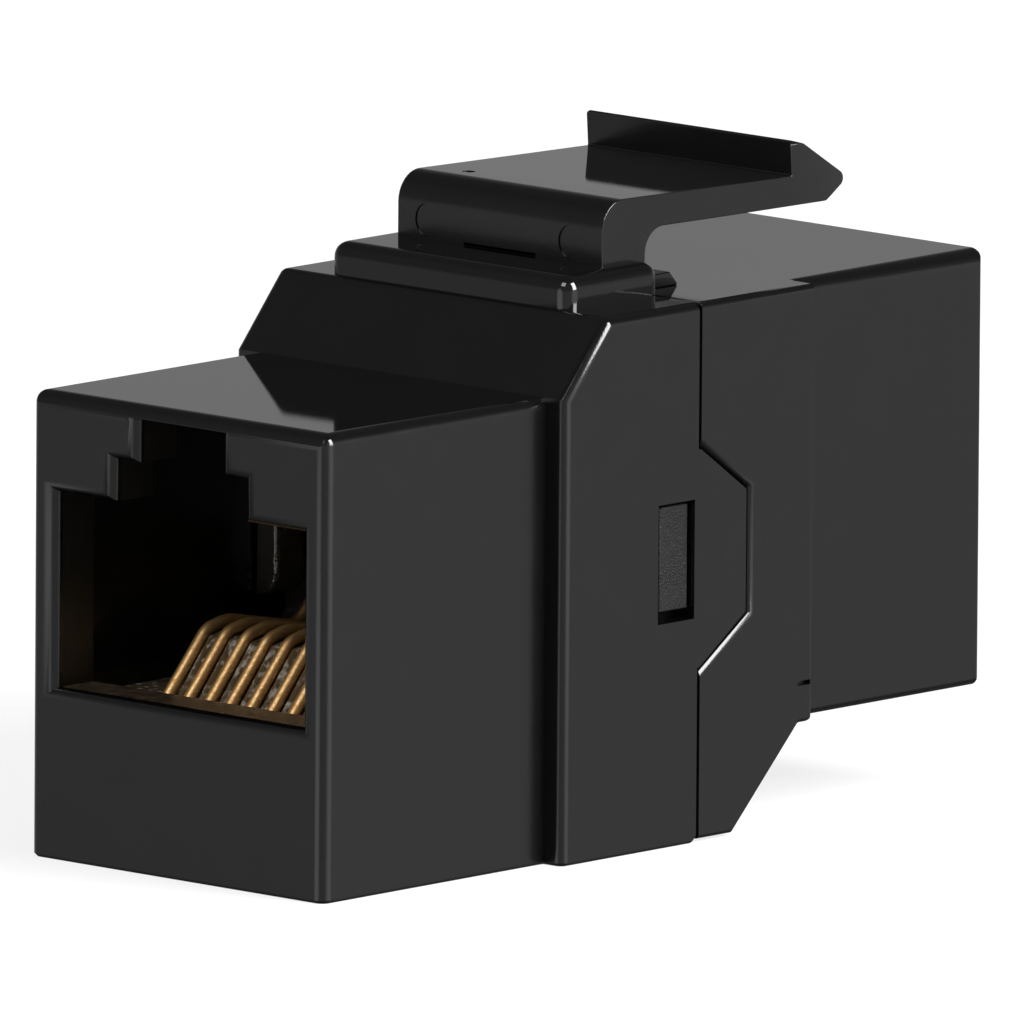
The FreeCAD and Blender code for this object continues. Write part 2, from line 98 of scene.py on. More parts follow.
class NodeSheet:
    """A node tree that is filled in from code."""

    def __init__(self, tree: bpy.types.NodeTree) -> None:
        """Starts from an empty tree.

        Args:
            tree: the tree to fill.
        """
        self.tree = tree
        self.tree.nodes.clear()

    def add(self, kind: str, values: dict[Any, Any] | None = None, **settings: Any) -> bpy.types.Node:
        """Adds one node.

        Args:
            kind: the node's Blender type.
            values: constants for its inputs, by name or number.
            settings: the node's own options.

        Returns:
            The new node.
        """
        node = self.tree.nodes.new(kind)
        for option, value in settings.items():
            setattr(node, option, value)
        for socket, value in (values or {}).items():
            node.inputs[socket].default_value = value
        return node

    def link(self, source: bpy.types.Node, output: Any, target: bpy.types.Node, socket: Any) -> None:
        """Joins an output to an input, both by name or number."""
        self.tree.links.new(source.outputs[output], target.inputs[socket])


def shader_sheet(name: str) -> tuple[bpy.types.Material, NodeSheet, bpy.types.Node]:
    """Makes a material with a Principled shader.

    Args:
        name: the material's name.

    Returns:
        The material, its sheet and its shader node.
    """
    material = bpy.data.materials.new(name)
    material.use_nodes = True
    sheet = NodeSheet(material.node_tree)
    output = sheet.add("ShaderNodeOutputMaterial")
    shader = sheet.add("ShaderNodeBsdfPrincipled")
    sheet.link(shader, "BSDF", output, "Surface")
    return material, sheet, shader


def grain(sheet: NodeSheet, place: bpy.types.Node, size: float, detail: float = 3.0) -> bpy.types.Node:
    """Adds a noise pattern.

    Args:
        sheet: the sheet to add to.
        place: the node that gives mm coordinates.
        size: the size of its spots in mm.
        detail: how many finer layers it has.

    Returns:
        The noise node.
    """
    noise = sheet.add("ShaderNodeTexNoise", {"Scale": 1.0 / size, "Detail": detail, "Roughness": 0.55})
    sheet.link(place, "Vector", noise, "Vector")
    return noise


def ranged(sheet: NodeSheet, source: bpy.types.Node, output: Any, span: Point, onto: Point) -> bpy.types.Node:
    """Maps an output from one range onto another.

    Args:
        sheet: the sheet to add to.
        source: the node to read.
        output: its output.
        span: the range that is read.
        onto: the range that comes out.

    Returns:
        The Map Range node.
    """
    values = {"From Min": span[0], "From Max": span[1], "To Min": onto[0], "To Max": onto[1]}
    node = sheet.add("ShaderNodeMapRange", values)
    sheet.link(source, output, node, "Value")
    return node


def blended(sheet: NodeSheet, share: bpy.types.Node, low: Colour, high: Colour) -> bpy.types.Node:
    """Mixes two colours.

    Args:
        sheet: the sheet to add to.
        share: the Map Range node that gives the share of the second colour.
        low: the first colour.
        high: the second colour.

    Returns:
        The Mix node.
    """
    values = {MIX_LOW: (*low, 1.0), MIX_HIGH: (*high, 1.0)}
    node = sheet.add("ShaderNodeMix", values, data_type="RGBA")
    sheet.link(share, "Result", node, MIX_SHARE)
    return node


@dataclass(frozen=True)
class MouldedPlastic:
    """Black moulded plastic: polished where it faces up, fine spark grain on its sides.

    Attributes:
        name: the finish's name.
        dark: the darker of its two colours.
        light: the lighter of its two colours.
        side_roughness: roughness of upright faces.
        top_roughness: roughness of faces that point up.
        grain_size: size of the grain in mm.
        grain_height: height of the grain in mm.
        gloss: the shader's specular level.
        cloud: size of the colour's clouds in mm.
        cloud_span: range of the cloud pattern over which the colour changes.
        wear: stretch along the coupler in mm over which the roughness grows, and by how much.
        upward: range of a normal's height over which a side turns into a top.
        smear: size of the faint smears in mm.
        smear_change: least and most that they change the roughness by.
        top_grain: share of the grain that faces that point up keep.
    """

    name: str
    dark: Colour
    light: Colour
    side_roughness: float
    top_roughness: float
    grain_size: float
    grain_height: float
    gloss: float = 0.5
    cloud: float = 2.6
    cloud_span: Point = (0.0, 1.0)
    wear: tuple[float, float, float] | None = None
    upward: Point = (0.3, 0.62)
    smear: float = 1.4
    smear_change: Point = (0.92, 1.08)
    top_grain: float = 0.12

    def material(self) -> bpy.types.Material:
        """Builds the finish.

        Returns:
            The node material.
        """
        material, sheet, shader = shader_sheet(self.name)
        shader.inputs["Specular IOR Level"].default_value = self.gloss
        coords = sheet.add("ShaderNodeTexCoord")
        place = sheet.add("ShaderNodeMapping", {"Scale": (1 / MM, 1 / MM, 1 / MM)})
        sheet.link(coords, "Object", place, "Vector")
        facing = sheet.add("ShaderNodeSeparateXYZ")
        sheet.link(coords, "Normal", facing, "Vector")
        upward = ranged(sheet, facing, "Z", self.upward, (0.0, 1.0))
        self._colour(sheet, place, shader)
        self._roughness(sheet, place, upward, shader)
        self._grain(sheet, place, upward, shader)
        return material

    def _colour(self, sheet: NodeSheet, place: bpy.types.Node, shader: bpy.types.Node) -> None:
        """Varies the colour in clouds between its two colours, a little for the blacks; on the comb the light
        clouds are painted glints.

        Args:
            sheet: the finish's sheet.
            place: the node that gives mm coordinates.
            shader: the shader node.
        """
        cloud = grain(sheet, place, self.cloud)
        share = ranged(sheet, cloud, "Fac", self.cloud_span, (0.0, 1.0))
        sheet.link(blended(sheet, share, self.dark, self.light), MIX_RESULT, shader, "Base Color")

    def _roughness(
        self, sheet: NodeSheet, place: bpy.types.Node, upward: bpy.types.Node, shader: bpy.types.Node
    ) -> None:
        """Sets the roughness from the way a face points, with faint smears.

        Args:
            sheet: the finish's sheet.
            place: the node that gives mm coordinates.
            upward: the node that tells how far a face points up.
            shader: the shader node.
        """
        smear = grain(sheet, place, self.smear)
        change = ranged(sheet, smear, "Fac", (0.3, 0.7), self.smear_change)
        level = ranged(sheet, upward, "Result", (0.0, 1.0), (self.side_roughness, self.top_roughness))
        product = sheet.add("ShaderNodeMath", operation="MULTIPLY")
        sheet.link(level, "Result", product, 0)
        sheet.link(change, "Result", product, 1)
        if self.wear:
            along = sheet.add("ShaderNodeSeparateXYZ")
            sheet.link(place, "Vector", along, "Vector")
            growth = ranged(sheet, along, "Y", self.wear[:2], (1.0, self.wear[2]))
            worn = sheet.add("ShaderNodeMath", operation="MULTIPLY")
            sheet.link(product, "Value", worn, 0)
            sheet.link(growth, "Result", worn, 1)
            product = worn
        sheet.link(product, "Value", shader, "Roughness")

    def _grain(
        self, sheet: NodeSheet, place: bpy.types.Node, upward: bpy.types.Node, shader: bpy.types.Node
    ) -> None:
        """Adds the spark grain, fainter on faces that point up.

        Args:
            sheet: the finish's sheet.
            place: the node that gives mm coordinates.
            upward: the node that tells how far a face points up.
            shader: the shader node.
        """
        fine = grain(sheet, place, self.grain_size, 2.0)
        strength = ranged(sheet, upward, "Result", (0.0, 1.0), (1.0, self.top_grain))
        bump = sheet.add("ShaderNodeBump", {"Distance": self.grain_height * MM})
        sheet.link(strength, "Result", bump, "Strength")
        sheet.link(fine, "Fac", bump, "Height")
        sheet.link(bump, "Normal", shader, "Normal")


@dataclass(frozen=True)
class GoldPlate:
    """Gold plating on drawn spring wire.

    Attributes:
        name: the finish's name.
        bright: colour of the plating.
        dull: colour of its duller streaks.
        roughness: its mean roughness.
        streak: size of the drawing marks across the wire in mm.
        stretch: how fast the marks change along the coupler, as a share of that across it.
        colour_span: range of the marks over which the colour changes.
        rough_span: range of the marks over which the roughness changes.
        rough_change: what the roughness is multiplied by at the ends of that range.
        mark_height: height of the marks in mm.
        mark_strength: how strongly the marks tilt the surface.
    """

    name: str
    bright: Colour
    dull: Colour
    roughness: float
    streak: float
    stretch: float = 0.12
    colour_span: Point = (0.3, 0.6)
    rough_span: Point = (0.25, 0.75)
    rough_change: Point = (1.25, 0.8)
    mark_height: float = 0.004
    mark_strength: float = 0.15

    def material(self) -> bpy.types.Material:
        """Builds the finish.

        Returns:
            The node material.
        """
        material, sheet, shader = shader_sheet(self.name)
        shader.inputs["Metallic"].default_value = 1.0
        coords = sheet.add("ShaderNodeTexCoord")
        place = sheet.add("ShaderNodeMapping", {"Scale": (1 / MM, self.stretch / MM, 1 / MM)})
        sheet.link(coords, "Object", place, "Vector")
        marks = grain(sheet, place, self.streak)
        share = ranged(sheet, marks, "Fac", self.colour_span, (0.0, 1.0))
        sheet.link(blended(sheet, share, self.dull, self.bright), MIX_RESULT, shader, "Base Color")
        levels = [self.roughness * change for change in self.rough_change]
        rough = ranged(sheet, marks, "Fac", self.rough_span, (levels[0], levels[1]))
        sheet.link(rough, "Result", shader, "Roughness")
        relief = {"Strength": self.mark_strength, "Distance": self.mark_height * MM}
        bump = sheet.add("ShaderNodeBump", relief)
        sheet.link(marks, "Fac", bump, "Height")
        sheet.link(bump, "Normal", shader, "Normal")
        return material


class Finishes:
    """The materials of the coupler, made once and shared by its pieces."""

    def __init__(self) -> None:
        """Builds every finish."""
        housing = MouldedPlastic(
            name="black_housing_plastic",
            dark=(0.0013, 0.0013, 0.0014),
            light=(0.0021, 0.0021, 0.0022),
            side_roughness=0.21,
            top_roughness=0.035,
            grain_size=0.075,
            grain_height=0.004,
        )
        socket = MouldedPlastic(
            name="matt_socket_plastic",
            dark=(0.0035, 0.0030, 0.0022),
            light=(0.0055, 0.0046, 0.0034),
            side_roughness=0.37,
            top_roughness=0.36,
            grain_size=0.11,
            grain_height=0.006,
            gloss=0.4,
        )
        spark = MouldedPlastic(
            name="coarse_spark_plastic",
            dark=(0.0040, 0.0040, 0.0042),
            light=(0.0090, 0.0090, 0.0094),
            side_roughness=0.33,
            top_roughness=0.33,
            grain_size=0.055,
            grain_height=0.05,
            gloss=0.19,
        )
        # Painted light: the comb is black plastic, but its light grey clouds stand in for glints and its
        # brown tint for light bounced off the gold wires.
        comb = MouldedPlastic(
            name="comb_plastic_painted_glints_and_bounce",
            dark=(0.0480, 0.0320, 0.0160),
            light=(0.2500, 0.2250, 0.1900),
            side_roughness=0.24,
            top_roughness=0.22,
            grain_size=0.13,
            grain_height=0.14,
            cloud=0.3,
            cloud_span=(0.5, 0.66),
        )
        # Painted light: the level sill in front of the wires is the same black plastic, given a much lighter
        # brown that stands in for light and gold bounce falling on it.
        sill = MouldedPlastic(
            name="sill_plastic_painted_light",
            dark=(0.0260, 0.0180, 0.0110),
            light=(0.0640, 0.0450, 0.0310),
            side_roughness=0.3,
            top_roughness=0.28,
            grain_size=0.13,
            grain_height=0.1,
            cloud=0.5,
            cloud_span=(0.4, 0.7),
        )
        # Painted light: the walls deep in the socket are the same black plastic, given a far lighter brown
        # that stands in for light bounced round inside where little reaches.
        painted_room_light = MouldedPlastic(
            name="socket_room_painted_bounce_light",
            dark=(0.0800, 0.0620, 0.0360),
            light=(0.1500, 0.1150, 0.0700),
            side_roughness=0.4,
            top_roughness=0.4,
            grain_size=0.11,
            grain_height=0.006,
            gloss=0.4,
        )
        latch = replace(housing, name="worn_latch_plastic", wear=(9.4, 12.2, 1.55))
        polished = replace(housing, name="polished_housing_plastic", side_roughness=0.07, grain_height=0.001)
        stop = MouldedPlastic(
            name="dark_stop_plastic",
            dark=(0.0140, 0.0120, 0.0090),
            light=(0.0300, 0.0260, 0.0200),
            side_roughness=0.13,
            top_roughness=0.13,
            grain_size=0.3,
            grain_height=0.05,
            gloss=0.9,
        )
        gold = GoldPlate(
            name="gold_plated_wire",
            bright=(0.71, 0.47, 0.22),
            dull=(0.52, 0.28, 0.09),
            roughness=0.50,
            streak=0.09,
        )
        self.housing = housing.material()
        self.socket = socket.material()
        self.spark = spark.material()
        self.comb = comb.material()
        self.sill = sill.material()
        self.painted_room_light = painted_room_light.material()
        self.latch = latch.material()
        self.polished = polished.material()
        self.stop = stop.material()
        self.gold = gold.material()


def new_piece(name: str, bm: bmesh.types.BMesh) -> bpy.types.Object:
    """Turns a bmesh into a linked object and frees it.

    Args:
        name: the object's name.
        bm: the shape, in mm.

    Returns:
        The object, still in mm.
    """
    mesh = bpy.data.meshes.new(name)
    bm.to_mesh(mesh)
    bm.free()
    obj = bpy.data.objects.new(name, mesh)
    bpy.context.scene.collection.objects.link(obj)
    return obj


def settle(obj: bpy.types.Object) -> None:
    """Makes an object's evaluated mesh its own and clears its modifiers.

    Args:
        obj: the object.
    """
    graph = bpy.context.evaluated_depsgraph_get()
    graph.update()
    shown = obj.evaluated_get(graph)
    mesh = bpy.data.meshes.new_from_object(shown, preserve_all_data_layers=True, depsgraph=graph)
    old = obj.data
    obj.modifiers.clear()
    obj.data = mesh
    mesh.name = obj.name
    bpy.data.meshes.remove(old)


def combine(target: bpy.types.Object, tool: bpy.types.Object, how: Join) -> None:
    """Joins a closed mesh to another, or cuts it away, and removes the tool.

    Args:
        target: the object that keeps the result.
        tool: the object that is used up.
        how: union or cut.
    """
    step = target.modifiers.new(how.name.lower(), "BOOLEAN")
    step.object = tool
    step.operation = how.value
    step.solver = "EXACT"
    settle(target)
    spent = tool.data
    bpy.data.objects.remove(tool)
    bpy.data.meshes.remove(spent)


def finish_surface(
    obj: bpy.types.Object, materials: Sequence[bpy.types.Material], sharp: float = 32.0
) -> None:
    """Brings a piece to metres, smooths it over its rounds and gives it its materials.

    Args:
        obj: the piece, in mm.
        materials: its materials, in slot order.
        sharp: angle in degrees from which an edge stays sharp.
    """
    mesh = obj.data
    mesh.shade_smooth()
    bm = bmesh.new()
    bm.from_mesh(mesh)
    for edge in bm.edges:
        edge.smooth = edge.is_manifold and edge.calc_face_angle() < math.radians(sharp)
    bmesh.ops.scale(bm, vec=(MM, MM, MM), verts=bm.verts)
    bm.to_mesh(mesh)
    bm.free()
    weigh = obj.modifiers.new("weigh_normals", "WEIGHTED_NORMAL")
    weigh.keep_sharp = True
    settle(obj)
    obj.data.materials.clear()
    for material in materials:
        obj.data.materials.append(material)


def merged_solid(node: str, flat: float = 0.6) -> bmesh.types.BMesh:
    """Copies a solid's triangles as one welded mesh with whole flat faces.

    Args:
        node: the solid's node.
        flat: angle in degrees up to which faces are joined.

    Returns:
        The mesh, in mm.
    """
    bm = bmesh.new()
    bm.from_mesh(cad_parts[node].data)
    bmesh.ops.scale(bm, vec=(1 / MM, 1 / MM, 1 / MM), verts=bm.verts)
    bmesh.ops.remove_doubles(bm, verts=bm.verts, dist=WELD)
    bmesh.ops.dissolve_limit(bm, angle_limit=math.radians(flat), verts=bm.verts, edges=bm.edges)
    return bm


def crisp_edges(bm: bmesh.types.BMesh, angle: float, shortest: float) -> list[bmesh.types.BMEdge]:
    """Finds the convex edges that a mould would leave with a fine round.

    Args:
        bm: the mesh, in mm.
        angle: least angle between the faces, in degrees.
        shortest: edges that touch a shorter one are left out.

    Returns:
        The edges.
    """
    found = []
    for edge in bm.edges:
        if not edge.is_manifold or not edge.is_convex:
            continue
        if edge.calc_face_angle() < math.radians(angle):
            continue
        near = {other for vert in edge.verts for other in vert.link_edges}
        if min(other.calc_length() for other in near) < shortest:
            continue
        found.append(edge)
    return found


def fine_round(
    bm: bmesh.types.BMesh, edges: Iterable[bmesh.types.BMEdge], radius: float, steps: int = 3
) -> None:
    """Rounds edges of a mesh.

    Args:
        bm: the mesh, in mm.
        edges: the edges to round.
        radius: the round's reach on each face.
        steps: how many strips it has.
    """
    bmesh.ops.bevel(
        bm,
        geom=list(edges),
        offset=radius,
        offset_type="OFFSET",
        segments=steps,
        profile=0.5,
        affect="EDGES",
        clamp_overlap=False,
        loop_slide=True,
    )


def rounded_outline(corners: Sequence[tuple[float, float, float]], step: float = 9.0) -> list[Point]:
    """Rounds the corners of a closed outline.

    Args:
        corners: each corner as (first, second, radius).
        step: angle of one chord in degrees.

    Returns:
        The outline's points.
    """
    points: list[Point] = []
    count = len(corners)
    for index, (u, v, radius) in enumerate(corners):
        corner = Vector((u, v))
        if not radius:
            points.append((u, v))
            continue
        back = (Vector(corners[index - 1][:2]) - corner).normalized()
        ahead = (Vector(corners[(index + 1) % count][:2]) - corner).normalized()
        half_turn = (math.pi - back.angle(ahead)) / 2
        start = corner + back * radius * math.tan(half_turn)
        centre = corner + (back + ahead).normalized() * (radius / math.cos(half_turn))
        arm = start - centre
        turn = 2 * half_turn * (1 if back.cross(ahead) < 0 else -1)
        chords = max(2, round(abs(math.degrees(turn)) / step))
        for chord in range(chords + 1):
            cos = math.cos(turn * chord / chords)
            sin = math.sin(turn * chord / chords)
            spun = Vector((arm.x * cos - arm.y * sin, arm.x * sin + arm.y * cos))
            points.append(tuple(centre + spun))
    return points


def prism_across(outline: Sequence[Point], half: float, edge: float) -> bmesh.types.BMesh:
    """Extrudes a side view, given as (y, z), across x and rounds its two rims.

    Args:
        outline: the side view's points.
        half: half of the width.
        edge: round of the rims, or 0.

    Returns:
        The closed prism.
    """
    bm = bmesh.new()
    rims = [[bm.verts.new((x, y, z)) for y, z in outline] for x in (-half, half)]
    caps = [bm.faces.new(rims[0]), bm.faces.new(list(reversed(rims[1])))]
    count = len(outline)
    for index in range(count):
        ahead = (index + 1) % count
        bm.faces.new((rims[0][ahead], rims[0][index], rims[1][index], rims[1][ahead]))
    bmesh.ops.recalc_face_normals(bm, faces=bm.faces)
    if edge:
        rim_edges = {rim_edge for cap in caps for rim_edge in cap.edges}
        fine_round(bm, rim_edges, edge)
    return bm


def block(low: Sequence[float], high: Sequence[float]) -> bmesh.types.BMesh:
    """Makes a box between two corners.

    Args:
        low: the lowest corner.
        high: the highest corner.

    Returns:
        The box.
    """
    bm = bmesh.new()
    size = Vector(high) - Vector(low)
    middle = (Vector(high) + Vector(low)) / 2
    bmesh.ops.create_cube(bm, size=1.0, matrix=Matrix.Translation(middle) @ Matrix.Diagonal((*size, 1.0)))
    return bm


def round_waste(corner: Point, reach: float, spare: float = 0.3, steps: int = 10) -> list[Point]:
    """Outlines what a quarter round takes off a square corner.

    Args:
        corner: the corner, with the solid towards lower values.
        reach: the round's radius.
        spare: how far the outline stands out past the solid.
        steps: how many chords the round has.

    Returns:
        The outline of the waste.
    """
    u, v = corner
    turns = [math.pi / 2 * step / steps for step in range(steps + 1)]
    arc = [(u - reach * (1 - math.sin(turn)), v - reach * (1 - math.cos(turn))) for turn in turns]
    return [*arc, (u + spare, v - reach), (u + spare, v + spare), (u - reach, v + spare)]


def loft(rings: Sequence[Sequence[Vector]]) -> bmesh.types.BMesh:
    """Joins two outlines with as many points each into a closed solid.

    Args:
        rings: the two outlines.

    Returns:
        The closed solid.
    """
    bm = bmesh.new()
    ends = [[bm.verts.new(point) for point in ring] for ring in rings]
    for end in ends:
        bm.faces.new(end)
    for index in range(len(ends[0])):
        bm.faces.new((ends[0][index], ends[0][index - 1], ends[1][index - 1], ends[1][index]))
    bmesh.ops.recalc_face_normals(bm, faces=bm.faces)
    return bm


def disc(radius: float, depth: float, centre: Vector, about: str, sides: int = 40) -> bmesh.types.BMesh:
    """Makes a short cylinder.

    Args:
        radius: its radius in mm.
        depth: its length in mm.
        centre: its middle.
        about: the axis it is tipped about, or Z to leave it upright.
        sides: how many flat sides its rim has.

    Returns:
        The closed cylinder.
    """
    bm = bmesh.new()
    place = Matrix.Translation(centre)
    if about != "Z":
        place = place @ Matrix.Rotation(math.pi / 2, 4, about)
    bmesh.ops.create_cone(
        bm, cap_ends=True, segments=sides, radius1=radius, radius2=radius, depth=depth, matrix=place
    )
    return bm


@dataclass
class MouldedPiece:
    """A moulding with the shape of its solid and the fine edge rounds of its mould.

    Attributes:
        node: the solid that it stands for.
        name: the piece's name.
        edge: round of the crisp edges in mm.
        slot: the record's slot; not used.
        crisp: least angle in degrees of an edge that is rounded.
        shortest: an edge that touches a shorter one, in mm, is left as it is.
    """

    node: str
    name: str
    edge: float
    slot: Slot
    crisp: float = 25.0
    shortest: float = 0.16

    def trim(self, bm: bmesh.types.BMesh) -> None:
        """Takes away what another piece makes; nothing here."""

    def may_round(self, edge: bmesh.types.BMEdge) -> bool:
        """Tells whether a crisp edge gets the fine round.

        Args:
            edge: the edge.

        Returns:
            True for every edge here.
        """
        return True

    def carve(self, obj: bpy.types.Object) -> None:
        """Cuts finer forms into the moulding; none here."""

    def paint(self, obj: bpy.types.Object) -> None:
        """Picks faces for a second material; none here."""

    def build(self) -> bpy.types.Object:
        """Makes the mesh.

        Returns:
            The object, in mm.
        """
        bm = merged_solid(self.node)
        self.trim(bm)
        edges = crisp_edges(bm, self.crisp, self.shortest)
        fine_round(bm, filter(self.may_round, edges), self.edge)
        bmesh.ops.recalc_face_normals(bm, faces=bm.faces)
        obj = new_piece(self.name, bm)
        self.carve(obj)
        return obj

    def dress(self, obj: bpy.types.Object, materials: Sequence[bpy.types.Material]) -> None:
        """Finishes the piece and sets it on the frame.

        Args:
            obj: the piece from build.
            materials: its materials, in slot order.
        """
        finish_surface(obj, materials)
        self.paint(obj)
        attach(obj, Body.COUPLER.value)
        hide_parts(self.node)
        LOG.info("%s: %d faces", obj.name, len(obj.data.polygons))


def lies_at(edge: bmesh.types.BMEdge, place: float) -> bool:
    """Tells whether an edge lies across the coupler at one place.

    Args:
        edge: the edge, in mm.
        place: the place along the coupler.

    Returns:
        True when both of its ends are there.
    """
    return all(abs(vert.co.y - place) < NEAR for vert in edge.verts)


def round_seam(bm: bmesh.types.BMesh, seam: float, above: float = 19.6, radius: float = 0.12) -> None:
    """Rounds the upper edge of a housing half at the seam.

    Args:
        bm: the half's mesh, in mm.
        seam: place of the half's end along the coupler.
        above: height that the edge lies above.
        radius: the round's reach on each face.
    """
    rim = []
    for edge in bm.edges:
        high = all(vert.co.z > above for vert in edge.verts)
        if high and lies_at(edge, seam) and edge.is_convex and edge.calc_face_angle(0.0) > 1.0:
            rim.append(edge)
    fine_round(bm, rim, radius, 4)


@dataclass
class Socket:
    """One plug socket: its mouth in the front plate, its sill and the room behind.

    Attributes:
        turned: True for the far socket, which lies turned over.
        mouth: place where the mouth's straight walls start.
        room: place where the room starts.
        inside: half width and lower and upper limits of the inner faces.
        sill: height of the sill.
        slack: how far from that height a face of the sill may lie.
    """

    turned: bool
    mouth: float = -17.11
    room: float = -15.35
    inside: tuple[float, float, float] = (6.95, 4.0, 16.75)
    sill: float = 6.26
    slack: float = 0.05

    def paint(self, mesh: bpy.types.Mesh, first: int) -> None:
        """Gives the mouth, the sill and the room their finishes; the sill's and the room's lighter colours
        are painted light.

        Args:
            mesh: the housing half's mesh, in metres.
            first: slot of the mouth's finish, with the sill's and the room's after it.
        """
        way = -1.0 if self.turned else 1.0
        middle = TURN_POINT[1]
        half, low, high = self.inside
        for face in mesh.polygons:
            corners = [mesh.vertices[index].co / MM for index in face.vertices]
            depths = [way * co.y for co in corners]
            heights = [middle + way * (co.z - middle) for co in corners]
            wide = max(abs(co.x) for co in corners) > half
            if wide or min(depths) < self.mouth or min(heights) < low or max(heights) > high:
                continue
            # the sill and the room take lighter finishes: painted light falling and bouncing inside the
            # socket
            part = SocketPart.MOUTH
            if max(depths) > self.room:
                part = SocketPart.ROOM
            elif all(abs(height - self.sill) < self.slack for height in heights):
                part = SocketPart.SILL
            face.material_index = first + part.value


@dataclass
class CableSideHousing(MouldedPiece):
    """The near half: boss, collar and tongues, without the latch that stands on it.

    Attributes:
        latch_seat: height at which the latch is taken off, in mm.
        face: place of the cable face along the coupler.
        lead_in: depth of the mouth's rounded rim.
        flare: how much wider than deep that rim is.
        seam: place of the half's end.
        brow: round of the boss's upper front edge.
        boss: half width that the round is cut over, and the boss's height.
        windows: least distance of a window's rim from the middle plane, its middle along the coupler and
            how far it reaches from there.
    """

    latch_seat: float = 19.7005
    face: float = -17.5
    lead_in: float = 0.4
    flare: float = 1.5
    seam: float = 1.43
    brow: float = 0.6
    boss: Point = (7.6, 17.0)
    windows: tuple[float, float, float] = (8.0, 0.15, 1.1)

    def may_round(self, edge: bmesh.types.BMEdge) -> bool:
        """Leaves the windows and the rim at the seam sharp, so that the seam stays a thin line.

        Args:
            edge: the edge, in mm.

        Returns:
            True for the other edges.
        """
        wide, middle, reach = self.windows
        rim = all(abs(vert.co.x) > wide and abs(vert.co.y - middle) < reach for vert in edge.verts)
        return not rim and not lies_at(edge, self.seam)

    def trim(self, bm: bmesh.types.BMesh) -> None:
        """Takes the latch off, then rounds the mouth's rim and the seam's upper rim.

        Args:
            bm: the mesh, in mm.
        """
        self.take_off_latch(bm)
        self.round_mouth(bm)
        round_seam(bm, self.seam)

    def carve(self, obj: bpy.types.Object) -> None:
        """Gives the boss's upper front edge its wider round.

        Args:
            obj: the object, in mm.
        """
        half, top = self.boss
        section = round_waste((-self.face, top), self.brow)
        cutter = loft([[Vector((x, -u, v)) for u, v in section] for x in (-half, half)])
        combine(obj, new_piece("brow", cutter), Join.CUT)

    def round_mouth(self, bm: bmesh.types.BMesh) -> None:
        """Turns the flat lead-in round the mouth into a quarter round.

        Args:
            bm: the mesh, in mm.
        """
        spokes = []
        for edge in bm.edges:
            ends = sorted((vert.co.copy() for vert in edge.verts), key=lambda co: co.y)
            if abs(ends[0].y - self.face) < NEAR and abs(ends[1].y - self.face - self.lead_in) < NEAR:
                ends[0].x = ends[1].x + (ends[0].x - ends[1].x) * self.flare
                min(edge.verts, key=lambda vert: vert.co.y).co = ends[0]
                spokes.append((edge, ends))
        cut = bmesh.ops.subdivide_edges(bm, edges=[edge for edge, _ in spokes], cuts=6)
        for vert in cut["geom_inner"]:
            if not isinstance(vert, bmesh.types.BMVert):
                continue
            share = (vert.co.y - self.face) / self.lead_in
            lines = [ends for _, ends in spokes]
            outer, inner = min(lines, key=lambda ends: (ends[0].lerp(ends[1], share) - vert.co).length)
            angle = share * math.pi / 2
            vert.co = outer.lerp(inner, math.sin(angle))
            vert.co.y = self.face + self.lead_in * (1 - math.cos(angle))

    def paint(self, obj: bpy.types.Object) -> None:
        """Gives the socket its own finishes."""
        Socket(turned=False).paint(obj.data, 1)

    def take_off_latch(self, bm: bmesh.types.BMesh) -> None:
        """Cuts the mesh at the latch's seat and closes the cut.

        Args:
            bm: the mesh, in mm.
        """
        geometry = [*bm.verts, *bm.edges, *bm.faces]
        plane = Vector((0.0, 0.0, self.latch_seat))
        bmesh.ops.bisect_plane(bm, geom=geometry, plane_co=plane, plane_no=(0, 0, 1), clear_outer=True)
        rim = [edge for edge in bm.edges if edge.is_boundary]
        bmesh.ops.holes_fill(bm, edges=rim, sides=0)


